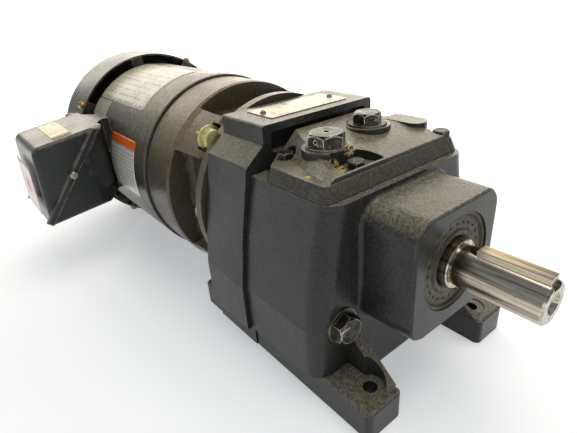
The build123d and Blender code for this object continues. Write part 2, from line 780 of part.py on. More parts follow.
def input_seal():
    """Lip seal around the input shaft in the rear wall."""
    return turned([
        (input_seal_x, input_bearing_radius), (input_seal_x, 10 + running_gap),
        (input_seal_x - 6.5, 10 + running_gap + 1.2), (input_seal_x - 6.5, input_bearing_radius),
    ])


# ---------------------------------------------------------------- motor adapter
adapter_flange_x = rear_housing_rear_x - 8.0
adapter_rim_x = -204.0
adapter_rim_radius = 82.0
adapter_rib_radius = 79.0
adapter_core_radius = 57.0
adapter_flange_radius = 77.0
coupling_room_radius = 40.0
motor_bolt_circle = 74.6
motor_bolt_head_x = -176.0
adapter_bearing_x = -168.0
motor_spigot_radius = 57.15


def adapter_casting():
    """Whole cast adapter: front flange, four side pockets between solid ribs, rear rim."""
    outer = turned([
        (rear_housing_rear_x, 0), (rear_housing_rear_x, adapter_flange_radius),
        (adapter_flange_x, adapter_flange_radius),
        (adapter_flange_x - 3, adapter_rib_radius), (adapter_rim_x + 4, adapter_rib_radius + 1),
        (adapter_rim_x - 3, adapter_rim_radius), (adapter_rear_x + 1.5, adapter_rim_radius),
        (adapter_rear_x, adapter_rim_radius - 1.5), (adapter_rear_x, 0),
    ])
    pocket = block(adapter_rim_x, adapter_flange_x, adapter_core_radius, 100, -42, 42)
    pocket = fillet(pocket.faces().sort_by(Axis.Y)[0].edges(), 6.0)
    for angle in square_angles:
        outer -= Rot(angle, 0, 0) * pocket
    outer += rod(adapter_spigot_radius, rear_housing_rear_x + 1.8, rear_housing_rear_x - 2)
    for angle in diagonal_angles:
        y, z = polar(motor_bolt_circle, angle)
        outer -= rod(5.1, adapter_flange_x + 10, adapter_rear_x - 1, y, z)
        slot = block(motor_bolt_head_x, adapter_flange_x, motor_bolt_circle - 11, 100, -11.5, 11.5)
        outer -= Rot(angle, 0, 0) * slot
    for angle in square_angles:
        y, z = polar(adapter_bolt_circle, angle)
        outer -= rod(adapter_bolt_radius + 0.2, rear_housing_rear_x + 1, adapter_flange_x - 1, y, z)
        outer -= rod(9.0, adapter_flange_x, adapter_flange_x - 12, y, z)
    outer -= rod(coupling_room_radius, adapter_bearing_x - 16, adapter_rear_x - 1)
    outer -= rod(motor_spigot_radius + 0.05, adapter_rear_x + 4.0, adapter_rear_x - 1)
    outer -= rod(input_bearing_radius, adapter_bearing_x, adapter_bearing_x - 22)
    outer -= rod(14.0, rear_housing_rear_x + 10, adapter_bearing_x - 22)
    for y, z in rear_bolt_places:
        outer -= rod(7.5, rear_housing_rear_x + 1, rear_housing_rear_x - 7, y, z)
    return outer


def adapter_slice(casting, x_front, x_rear):
    """Part of the adapter casting between two planes across the shaft."""
    return casting & block(x_rear, x_front, -100, 100, -100, 100)


def adapter_bolts():
    """Hex bolts holding the adapter flange to the rear housing, heads in the pockets."""
    shapes = []
    for angle in square_angles:
        y, z = polar(adapter_bolt_circle, angle)
        bolt = hex_bolt(13.0, 5.5, adapter_bolt_radius, 18.0, 8.0)
        shapes.append(facing_rear(bolt, adapter_flange_x, y, z))
    return shapes


def motor_flange_bolts():
    """Hex bolts through the adapter ribs into the motor face."""
    shapes = []
    for angle in diagonal_angles:
        y, z = polar(motor_bolt_circle, angle)
        bolt = hex_bolt(14.3, 5.6, 4.7, motor_bolt_head_x - adapter_rear_x + 12.0, 9.8)
        shapes.append(facing_front(bolt, motor_bolt_head_x, y, z))
    return shapes


coupling_radius = 28.0
coupling_front_face_x = -206.0
coupling_rear_face_x = -215.0
jaw_reach = 9.0
jaw_half_angle = 20
jaw_inner_radius = 13.0


def coupling_hub(x_face, x_back, bore_radius, jaw_turn, key_width, key_top):
    """Jaw coupling hub: a disc with three jaws reaching towards its partner."""
    direction = 1 if x_face > x_back else -1
    hub = rod(coupling_radius, x_face, x_back)
    inner_start = polar(jaw_inner_radius, -jaw_half_angle)
    inner_end = polar(jaw_inner_radius, jaw_half_angle)
    outer_radius = coupling_radius - 0.01
    outer_arc = [polar(outer_radius, turn) for turn in (-jaw_half_angle, 0, jaw_half_angle)]
    sides = Polyline(outer_arc[0], inner_start, inner_end, outer_arc[2])
    wedge = make_face(sides.edges() + ThreePointArc(*outer_arc).edges())
    plane = Plane(origin=(x_face, 0, 0), x_dir=(0, 1, 0), z_dir=(direction, 0, 0))
    for jaw in range(3):
        hub += Rot(jaw_turn + 120 * jaw, 0, 0) * extrude(plane * wedge, jaw_reach)
    hub -= rod(bore_radius, x_back - direction, x_face + direction)
    low = min(x_face, x_back) - 1
    high = max(x_face, x_back) + 1
    hub -= block(low, high, -key_width / 2, key_width / 2, 0, key_top)
    return hub


def coupling_spider(x_front, x_rear):
    """Rubber star between the coupling jaws."""
    star = ring(11.5, 8.5, x_front, x_rear)
    for arm in range(6):
        spoke = block(x_rear, x_front, 11, coupling_radius - 1, -1.6, 1.6)
        star += Rot(30 + 60 * arm, 0, 0) * spoke
    return star


# ---------------------------------------------------------------- motor
frame_thickness = 2.5
motor_shaft_radius = 7.94
motor_shaft_front_x = -214.0
motor_key_width = 4.76
motor_key_bottom = 5.5
motor_key_top = 10.0
stator_front_x = -292.0
stator_rear_x = -352.0
stator_outer_radius = 81.5
stator_bore = 46.5
rotor_bore = 13.0
slot_count = 24
slot_pitch = 360 / slot_count
motor_bearing_radius = 20.0
motor_bearing_width = 12.0
motor_bearing_bore = 8.5
fan_seat_radius = 7.0
through_bolt_circle = 72.0
through_bolt_radius = 2.4
front_motor_bearing_x = -258.0
rear_motor_bearing_x = -381.0
fan_cover_front_x = motor_rear_x - 2.0
fan_cover_rear_x = fan_cover_front_x - fan_cover_length
fan_screw_angles = (57, 147, 237, 327)
fan_tab_angle = 97
fan_slot_radii = (20, 29, 38, 47, 56)
fan_screw_x = fan_cover_front_x - 7.0
fan_lug_rear_x = fan_cover_front_x - 12.0
fan_lug_radius = 76.0


def motor_frame():
    """Rolled steel band around the stator, its rear edge turned in a little."""
    outer = motor_frame_radius
    inner = outer - frame_thickness
    frame = turned([
        (motor_face_x - 1.0, inner), (motor_face_x - 1.0, outer - 0.8), (motor_face_x - 1.8, outer),
        (motor_rear_x + 2.5, outer), (motor_rear_x, outer - 2.5), (motor_rear_x, inner - 2.5),
        (motor_rear_x + 2.5, inner),
    ])
    for x, z in conduit_base_screw_places:
        frame -= Pos(x, -84, z) * Rot(90, 0, 0) * Cylinder(2.2, 12)
    return frame


def front_end_bell():
    """Cast C-face end bell with register spigot, tapped holes and bearing seat."""
    inner = motor_frame_radius - frame_thickness
    spigot_x = motor_face_x + 3.8
    rim_x = motor_face_x - 16
    wall_x = motor_face_x - 13
    seat_end_x = front_motor_bearing_x - motor_bearing_width - 2
    bell = turned([
        (spigot_x, 38), (spigot_x, motor_spigot_radius), (motor_face_x, motor_spigot_radius),
        (motor_face_x, inner - 0.5), (rim_x, inner - 0.5), (rim_x, inner - 5), (wall_x, 68), (wall_x, 30),
        (seat_end_x, 28), (seat_end_x, motor_bearing_radius),
        (front_motor_bearing_x, motor_bearing_radius), (front_motor_bearing_x, 12),
        (motor_face_x - 2, 12), (motor_face_x - 2, 38),
    ])
    for angle in diagonal_angles:
        y, z = polar(motor_bolt_circle, angle)
        bell -= rod(4.7, motor_face_x + 1, motor_face_x - 17, y, z)
    for angle in square_angles:
        y, z = polar(through_bolt_circle, angle)
        bell -= rod(2.6, motor_face_x - 6, motor_face_x - 17, y, z)
    return bell


def rear_end_bell():
    """Rear end bell closing the frame, with the rear bearing seat and cover lugs."""
    inner = motor_frame_radius - frame_thickness
    seat_end_x = rear_motor_bearing_x - motor_bearing_width
    bell = turned([
        (motor_rear_x + 14, inner - 0.3), (motor_rear_x + 14, inner - 5), (motor_rear_x + 9, inner - 9),
        (rear_motor_bearing_x + 3, 30), (rear_motor_bearing_x + 3, motor_bearing_radius),
        (seat_end_x, motor_bearing_radius), (seat_end_x, 10), (seat_end_x - 3, 10), (seat_end_x - 3, 30),
        (motor_rear_x - 2, 34), (motor_rear_x - 2, inner - 4.0), (motor_rear_x + 2.5, inner - 3.0),
        (motor_rear_x + 3.0, inner - 0.3),
    ])
    for angle in fan_screw_angles:
        lug = block(fan_lug_rear_x, motor_rear_x - 1, 68, fan_lug_radius, -8, 8)
        bell += Rot(angle, 0, 0) * lug
        screw_hole = Pos(fan_screw_x, 0, 0) * Rot(angle, 0, 0) * Pos(0, 85, 0) * Rot(90, 0, 0)
        bell -= screw_hole * Cylinder(2.0, 36)
    for angle in square_angles:
        y, z = polar(through_bolt_circle, angle)
        bell -= rod(2.6, motor_rear_x + 16, motor_rear_x - 3, y, z)
    return bell


def through_bolts():
    """Four long bolts drawing the end bells onto the frame."""
    shapes = []
    for angle in square_angles:
        y, z = polar(through_bolt_circle, angle)
        length = motor_frame_length - 6.0
        bolt = hex_bolt(8.0, 3.5, through_bolt_radius, length)
        shapes.append(facing_rear(bolt, motor_rear_x - 2, y, z))
    return shapes


def stator_core():
    """Laminated stator ring with winding slots."""
    core = ring(stator_outer_radius, stator_bore, stator_front_x, stator_rear_x)
    slot = block(stator_rear_x - 1, stator_front_x + 1, stator_bore + 2.5, 65, -2.6, 2.6)
    for number in range(slot_count):
        core -= Rot(slot_pitch * number, 0, 0) * slot
    for angle in square_angles:
        y, z = polar(through_bolt_circle, angle)
        core -= rod(3.0, stator_front_x + 1, stator_rear_x - 1, y, z)
    return core


def stator_windings():
    """Copper winding: slot bars joined by the end turns at both ends."""
    winding = ring(64.5, 50.0, stator_front_x + 16, stator_front_x + 0.5)
    winding = fillet(winding.edges(), 4.0)
    rear = ring(64.5, 50.0, stator_rear_x - 0.5, stator_rear_x - 16)
    winding += fillet(rear.edges(), 4.0)
    bar = block(stator_rear_x - 2, stator_front_x + 2, stator_bore + 4.5, 64, -2.3, 2.3)
    for number in range(slot_count):
        winding += Rot(slot_pitch * number, 0, 0) * bar
    return winding


def rotor_core():
    """Cast cage rotor with end rings."""
    rotor = rod(stator_bore - 0.5, stator_front_x, stator_rear_x)
    rotor += ring(44.0, 28.0, stator_front_x + 8, stator_front_x - 1)
    rotor += ring(44.0, 28.0, stator_rear_x + 1, stator_rear_x - 8)
    rotor -= rod(rotor_bore, stator_front_x + 20, stator_rear_x - 20)
    return rotor


def motor_shaft():
    """Motor shaft from the coupling to the fan."""
    front_x = motor_shaft_front_x
    front_seat_x = front_motor_bearing_x + 1
    body_front_x = front_motor_bearing_x - motor_bearing_width - 1
    body_rear_x = rear_motor_bearing_x + 1
    rear_seat_x = rear_motor_bearing_x - motor_bearing_width - 1
    fan_end_x = fan_cover_front_x - 20
    shaft = turned([
        (front_x, 0), (front_x, motor_shaft_radius - 0.8), (front_x - 0.8, motor_shaft_radius),
        (front_seat_x, motor_shaft_radius), (front_seat_x, motor_bearing_bore),
        (body_front_x, motor_bearing_bore), (body_front_x, rotor_bore), (body_rear_x, rotor_bore),
        (body_rear_x, motor_bearing_bore), (rear_seat_x, motor_bearing_bore),
        (rear_seat_x, fan_seat_radius), (fan_end_x, fan_seat_radius), (fan_end_x, 0),
    ])
    half = motor_key_width / 2 + 0.02
    shaft -= block(front_x - 24, front_x + 1, -half, half, motor_key_bottom, 12)
    return shaft


def cooling_fan():
    """Radial fan: hub, disc and straight blades."""
    front_x = fan_cover_front_x - 8
    hub = ring(14.0, 7.0, front_x, front_x - 20)
    fan = hub + ring(64.0, 13.0, front_x - 1, front_x - 4)
    blade = block(front_x - 20, front_x - 3, 22, 63, -1.2, 1.2)
    for number in range(8):
        fan += Rot(45 * number, 0, 0) * blade
    return fan


def fan_cover():
    """Drawn steel fan cover with a rounded shoulder, air slots and a rolled front lip."""
    thickness = 1.6
    shoulder = 16.0
    outer = turned([
        (fan_cover_front_x, 0), (fan_cover_front_x, fan_cover_radius), (fan_cover_rear_x, fan_cover_radius),
        (fan_cover_rear_x, 0),
    ])
    rear_edge = outer.faces().sort_by(Axis.X)[0].edges()
    outer = fillet(rear_edge, shoulder)
    inner = turned([
        (fan_cover_front_x + 1, 0), (fan_cover_front_x + 1, fan_cover_radius - thickness),
        (fan_cover_rear_x + thickness, fan_cover_radius - thickness), (fan_cover_rear_x + thickness, 0),
    ])
    inner = fillet(inner.faces().sort_by(Axis.X)[0].edges(), shoulder - thickness)
    cover = outer - inner
    for radius in fan_slot_radii:
        count = 6
        for number in range(count):
            slot = ring(radius + 3.0, radius - 3.0, fan_cover_rear_x - 1, fan_cover_rear_x + 4)
            reach = radius + 10
            gap = 360 / count / 2 - 200 / radius
            wedge_points = [(0, 0)]
            for step in range(5):
                wedge_points.append(polar(reach * 1.1, -gap + 2 * gap * step / 4))
            wedge = make_face(Polyline(*wedge_points, close=True))
            plane = Plane(origin=(fan_cover_rear_x - 2, 0, 0), x_dir=(0, 1, 0), z_dir=(1, 0, 0))
            wedge = extrude(plane * wedge, 8)
            cover -= slot & (Rot(60 * number, 0, 0) * wedge)
    for angle in fan_screw_angles:
        tab = block(fan_lug_rear_x, fan_cover_front_x - 1, fan_lug_radius, fan_cover_radius - 0.8, -6, 6)
        cover += Rot(angle, 0, 0) * tab
        screw_hole = Pos(fan_screw_x, 0, 0) * Rot(angle, 0, 0) * Pos(0, 85, 0) * Rot(90, 0, 0)
        cover -= screw_hole * Cylinder(2.2, 40)
    rest_tab = block(fan_lug_rear_x, fan_cover_front_x - 1, motor_frame_radius, fan_cover_radius - 0.8, -6, 6)
    cover += Rot(fan_tab_angle, 0, 0) * rest_tab
    return cover


def fan_cover_screws():
    """Pan head screws holding the fan cover to the rear end bell."""
    shapes = []
    for angle in fan_screw_angles:
        screw = Cylinder(2.0, 22) + Pos(0, 0, 11) * (Sphere(4.4) & Pos(0, 0, 2.2) * Cylinder(6, 4.4))
        place = Pos(fan_screw_x, 0, 0) * Rot(angle, 0, 0)
        shapes.append(place * Pos(0, fan_cover_radius - 11, 0) * Rot(-90, 0, 0) * screw)
    return shapes


# ---------------------------------------------------------------- conduit box
box_front_x = motor_face_x - 60.0
box_rear_x = box_front_x - 80.0
box_outer_y = -156.0
box_inner_y = -76.0
box_wall = 1.8
box_shoulder_y = -101.0
box_neck_y = -83.0
box_neck_inset = 26.0
box_shoulder_rounding = 14.0
box_flange_thickness = 2.2
split_top = (-95.0, 47.0)
split_bottom = (-153.0, -27.0)


def conduit_box_shape(inset):
    """Closed body of the conduit box, moved inwards by the wall thickness."""
    inner_y = box_inner_y if inset == 0 else box_inner_y - 12.0
    outline = [
        (inner_y, 49.0 - inset),
        (split_top[0], 49.0 - inset),
        (box_outer_y + 3.0 + inset, 41.0 - inset),
        (box_outer_y + inset, -31.0 + 2.0 * inset),
        (inner_y, -22.0 + inset),
    ]
    face = make_face(Polyline(*outline, close=True))
    outer_corner = face.vertices().sort_by(Axis.X)[:2].sort_by(Axis.Y)[-1]
    face = fillet(outer_corner, 9.0 - inset)
    front_x = box_front_x - inset
    rear_x = box_rear_x + inset
    section = Plane(origin=(rear_x, 0, 0), x_dir=(0, 1, 0), z_dir=(1, 0, 0)) * face
    body = extrude(section, front_x - rear_x)
    end_edges = body.faces().sort_by(Axis.X)[0].edges() + body.faces().sort_by(Axis.X)[-1].edges()
    return fillet(end_edges, 4.0 - inset)


def conduit_box_plan(inset):
    """Outline from above: full width outside, rounded shoulders and a neck at the motor."""
    front_x = box_front_x - inset
    rear_x = box_rear_x + inset
    neck_end_y = box_inner_y + 10.0
    outline = [
        (front_x, box_outer_y - 5.0),
        (front_x, box_shoulder_y),
        (front_x - box_neck_inset, box_neck_y),
        (front_x - box_neck_inset, neck_end_y),
        (rear_x + box_neck_inset, neck_end_y),
        (rear_x + box_neck_inset, box_neck_y),
        (rear_x, box_shoulder_y),
        (rear_x, box_outer_y - 5.0),
    ]
    face = make_face(Polyline(*outline, close=True))
    shoulders = face.vertices().filter_by_position(Axis.Y, box_shoulder_y - 0.1, box_shoulder_y + 0.1)
    face = fillet(shoulders, box_shoulder_rounding - inset)
    return Pos(0, 0, -60) * extrude(face, 140)


def split_prism(shift, cover_side):
    """Half space on one side of the diagonal joint of the conduit box."""
    run_y = split_bottom[0] - split_top[0]
    run_z = split_bottom[1] - split_top[1]
    length = hypot(run_y, run_z)
    unit_y, unit_z = run_y / length, run_z / length
    normal_y, normal_z = unit_z, -unit_y
    reach = 120.0 if cover_side else -120.0
    start_y = split_top[0] - 40 * unit_y + shift * normal_y
    start_z = split_top[1] - 40 * unit_z + shift * normal_z
    end_y = split_bottom[0] + 40 * unit_y + shift * normal_y
    end_z = split_bottom[1] + 40 * unit_z + shift * normal_z
    points = [
        (start_y, start_z),
        (end_y, end_z),
        (end_y + reach * normal_y, end_z + reach * normal_z),
        (start_y + reach * normal_y, start_z + reach * normal_z),
    ]
    return prism_along_x(points, box_front_x + 10, box_rear_x - 10)


def conduit_box_base():
    """Lower half of the conduit box with the saddle that sits on the motor frame."""
    full = conduit_box_shape(0.0) & split_prism(0.0, False)
    base = full & conduit_box_plan(0.0)
    base += full - split_prism(-box_flange_thickness, False)
    base -= conduit_box_shape(box_wall) & conduit_box_plan(box_wall)
    base -= rod(motor_frame_radius + 0.02, box_front_x + 20, box_rear_x - 20)
    for x, z in conduit_base_screw_places:
        base -= Pos(x, -80, z) * Rot(90, 0, 0) * Cylinder(2.2, 30)
    return base


split_middle = ((split_top[0] + split_bottom[0]) / 2, (split_top[1] + split_bottom[1]) / 2)
conduit_base_screw_places = [(box_front_x - 32, 2.0), (box_rear_x + 32, 2.0)]


def conduit_box_cover():
    """Upper half of the conduit box with a raised lip along the diagonal joint."""
    cover = conduit_box_shape(0.0) - conduit_box_shape(box_wall)
    cover = cover & split_prism(0.2, True)
    lip_outline = [
        (split_top[0] + 1.5, split_top[1] + 1.5),
        (split_bottom[0] - 1.0, split_bottom[1] - 3.0),
        (split_bottom[0] - 6.5, split_bottom[1] + 1.5),
        (split_top[0] - 5.5, split_top[1] + 2.0),
    ]
    for x_front, x_rear in ((box_front_x + 3.2, box_front_x - 1.0), (box_rear_x + 1.0, box_rear_x - 3.2)):
        lip = prism_along_x(lip_outline, x_front, x_rear)
        cover += chamfer(lip.faces().sort_by(Axis.X)[-1].edges(), 0.8)
    cover = cover & split_prism(0.2, True)
    for x in (box_front_x, box_rear_x):
        cover -= rod(1.5, x + 4, x - 4, split_middle[0] - 2.6, split_middle[1] + 2.2)
    return cover


def conduit_box_screws():
    """Two screws at the middle of the diagonal lips."""
    shapes = []
    for x, direction in ((box_front_x + 3.2, 1), (box_rear_x - 3.2, -1)):
        screw = hex_bolt(6.0, 3.0, 1.5, 3.0)
        y = split_middle[0] - 2.6
        z = split_middle[1] + 2.2
        if direction > 0:
            shapes.append(facing_front(screw, x, y, z))
        else:
            shapes.append(facing_rear(screw, x, y, z))
    return shapes


def conduit_base_screws():
    """Two screws inside the conduit box that hold it to the motor frame."""
    shapes = []
    for x, z in conduit_base_screw_places:
        screw = hex_bolt(7.0, 3.0, 2.2, 7.5)
        shapes.append(Pos(x, -90.2, z) * Rot(90, 0, 0) * screw)
    return shapes


# ---------------------------------------------------------------- assembly
def build_all():
    """Make every node in the working frame."""
    save("gear_housing", gear_housing())
    save("inspection_cover", inspection_cover())
    save("cover_gasket", cover_gasket())
    save("cover_screws", *cover_screws())
    save("breather_plug", cover_plug(plug_one, 21.0, 7.5, 8, True))
    save("fill_plug", cover_plug(plug_two, 17.0, 6.8, 0, False))
    save("drain_plug", front_plug(-1))
    save("level_plug", front_plug(1))
    save("plug_washers", *plug_washers())
    save("rear_housing", rear_housing())
    save("rear_gasket", rear_gasket())
    save("rear_housing_bolts", *rear_housing_bolts())
    save("name_plate", name_plate())
    save("name_plate_rivets", *name_plate_rivets())

    save("output_shaft", output_shaft())
    save("output_key", output_key())
    save("output_seal", output_seal())
    save("output_spacer", output_spacer())
    save("output_gear", output_gear())
    save("output_gear_key", shaft_key(output_gear_rear_x + 2.5, output_gear_x - 2.5, output_key_width,
                                      gear_key_bottom, output_gear_bore + 2.4))
    outer, inner, balls = bearing(seal_shaft_radius, bearing_front_radius, front_bearing_width,
                                  bearing_front_x)
    save("output_front_bearing_outer", outer)
    save("output_front_bearing_inner", inner, *balls)
    outer, inner, balls = bearing(output_rear_bearing_bore, output_rear_bearing_radius,
                                  web_front_x - web_rear_x, web_front_x)
    save("output_rear_bearing_outer", outer)
    save("output_rear_bearing_inner", inner, *balls)

    save("intermediate_shaft", intermediate_shaft())
    save("intermediate_gear", intermediate_gear())
    save("intermediate_gear_key", shaft_key(intermediate_key_rear_x, intermediate_key_front_x,
                                            intermediate_key_width, intermediate_key_bottom,
                                            intermediate_key_bottom + 5.6))
    outers, inners = [], []
    for x in (intermediate_front_bearing_x, intermediate_rear_bearing_x):
        outer, inner, balls = bearing(intermediate_bearing_bore, intermediate_bearing_radius,
                                      intermediate_bearing_width, x, intermediate_z)
        outers.append(outer)
        inners.extend([inner, *balls])
    save("intermediate_bearing_outers", *outers)
    save("intermediate_bearing_inners", *inners)

    save("input_shaft", input_shaft())
    outers, inners = [], []
    for x in (input_front_bearing_x, adapter_bearing_x):
        outer, inner, balls = bearing(input_bearing_bore, input_bearing_radius, input_bearing_width, x)
        outers.append(outer)
        inners.extend([inner, *balls])
    save("input_bearing_outers", *outers)
    save("input_bearing_inners", *inners)
    save("input_seal", input_seal())
    key_top = input_bearing_bore + 2.3
    save("input_coupling_key", shaft_key(input_shaft_rear_x + 1, input_key_front_x, input_key_width,
                                         coupling_key_bottom, key_top))

    casting = adapter_casting()
    save("adapter_flange", adapter_slice(casting, rear_housing_rear_x + 5, adapter_flange_x))
    save("adapter_ribs", adapter_slice(casting, adapter_flange_x, adapter_rim_x))
    save("adapter_rim", adapter_slice(casting, adapter_rim_x, adapter_rear_x - 5))
    save("adapter_bolts", *adapter_bolts())
    save("motor_flange_bolts", *motor_flange_bolts())
    save("coupling_hub_input", coupling_hub(coupling_front_face_x, coupling_front_face_x + 16,
                                            input_bearing_bore, 0, input_key_width, key_top))
    save("coupling_spider", coupling_spider(coupling_front_face_x - 0.3, coupling_rear_face_x + 0.3))
    save("coupling_hub_motor", coupling_hub(coupling_rear_face_x, coupling_rear_face_x - 21,
                                            motor_shaft_radius, 60, motor_key_width, motor_key_top))

    save("motor_frame", motor_frame())
    save("front_end_bell", front_end_bell())
    save("rear_end_bell", rear_end_bell())
    save("through_bolts", *through_bolts())
    save("stator_core", stator_core())
    save("stator_windings", stator_windings())
    save("rotor_core", rotor_core())
    save("motor_shaft", motor_shaft())
    save("motor_shaft_key", shaft_key(motor_shaft_front_x - 22, motor_shaft_front_x - 2, motor_key_width,
                                      motor_key_bottom, motor_key_top))
    outers, inners = [], []
    for x in (front_motor_bearing_x, rear_motor_bearing_x):
        outer, inner, balls = bearing(motor_bearing_bore, motor_bearing_radius, motor_bearing_width, x)
        outers.append(outer)
        inners.extend([inner, *balls])
    save("motor_bearing_outers", *outers)
    save("motor_bearing_inners", *inners)
    save("cooling_fan", cooling_fan())
    save("fan_cover", fan_cover())
    save("fan_cover_screws", *fan_cover_screws())
    save("conduit_box_base", conduit_box_base())
    save("conduit_box_cover", conduit_box_cover())
    save("conduit_box_screws", *conduit_box_screws())
    save("conduit_base_screws", *conduit_base_screws())


def export_all():
    """Move every node into the foot frame and write one STEP file for each."""
    os.makedirs("parts", exist_ok=True)
    to_foot_frame = Pos(-origin_x, 0, axis_height)
    for name, solids in part_nodes.items():
        moved = [to_foot_frame * solid for solid in solids]
        shape = moved[0] if len(moved) == 1 else Compound(children=moved)
        shape.label = name
        export_step(shape, f"parts/{name}.step")


build_all()
export_all()
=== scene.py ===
import json
from math import cos, pi, radians, sin

import bmesh
import bpy
from mathutils import Matrix, Vector


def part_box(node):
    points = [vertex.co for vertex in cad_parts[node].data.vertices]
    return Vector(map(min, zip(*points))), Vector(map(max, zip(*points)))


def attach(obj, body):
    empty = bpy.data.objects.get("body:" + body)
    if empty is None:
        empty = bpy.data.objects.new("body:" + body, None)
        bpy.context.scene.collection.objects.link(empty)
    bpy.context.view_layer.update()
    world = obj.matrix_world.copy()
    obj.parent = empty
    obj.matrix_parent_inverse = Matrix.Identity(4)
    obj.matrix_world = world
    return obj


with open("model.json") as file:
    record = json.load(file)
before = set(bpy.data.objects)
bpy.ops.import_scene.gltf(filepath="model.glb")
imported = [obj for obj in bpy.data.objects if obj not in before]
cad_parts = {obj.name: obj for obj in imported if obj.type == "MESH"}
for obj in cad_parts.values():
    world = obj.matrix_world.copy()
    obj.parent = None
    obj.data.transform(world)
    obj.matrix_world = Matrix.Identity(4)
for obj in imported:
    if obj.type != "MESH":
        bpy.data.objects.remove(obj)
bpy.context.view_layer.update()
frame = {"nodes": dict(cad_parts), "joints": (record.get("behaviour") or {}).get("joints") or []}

# Inline gear reducer with its motor.  Metres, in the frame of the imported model: +X points out
# along the output shaft, +Z is up, -Y is the conduit box side.  Nothing here changes the
# shape of a CAD node: they get their surfaces, and the labels are added on top of them.
# Noise scales count waves in a metre.  Lengths are metres, written as millimetres times MM.

MM = 0.001

FILM_THICKNESS = 0.12 * MM
FILM_CLEARANCE = 0.03 * MM
LABEL_STEPS = 28
FLAT_LABEL_STEPS = (24, 6)
ENGRAVING_ROW = 5.5 * MM
LAMINATION_PITCH = 0.5 * MM
MILLED_FACE_DEPTH = 0.3 * MM
EDGE_WEAR_SPREAD = 0.12
EDGE_WEAR_LIMIT = 0.995

# ---------------------------------------------------------------- places read from the frame
shaft_z = frame["joints"][0]["pos_m"][2]
nose_face_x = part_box("gear_housing")[1].x
frame_low, frame_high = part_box("motor_frame")
motor_radius = (frame_high.y - frame_low.y) / 2
cover_low, cover_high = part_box("inspection_cover")
breather_low, breather_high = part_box("breather_plug")
plate_low, plate_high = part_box("name_plate")
seal_front_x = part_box("output_seal")[1].x
box_low, box_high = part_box("conduit_box_cover")


def rgb(red, green, blue):
    """Linear colour from the usual 0 to 255 values."""
    linear = []
    for value in (red, green, blue):
        share = value / 255
        linear.append(share / 12.92 if share < 0.04045 else ((share + 0.055) / 1.055) ** 2.4)
    return (*linear, 1.0)


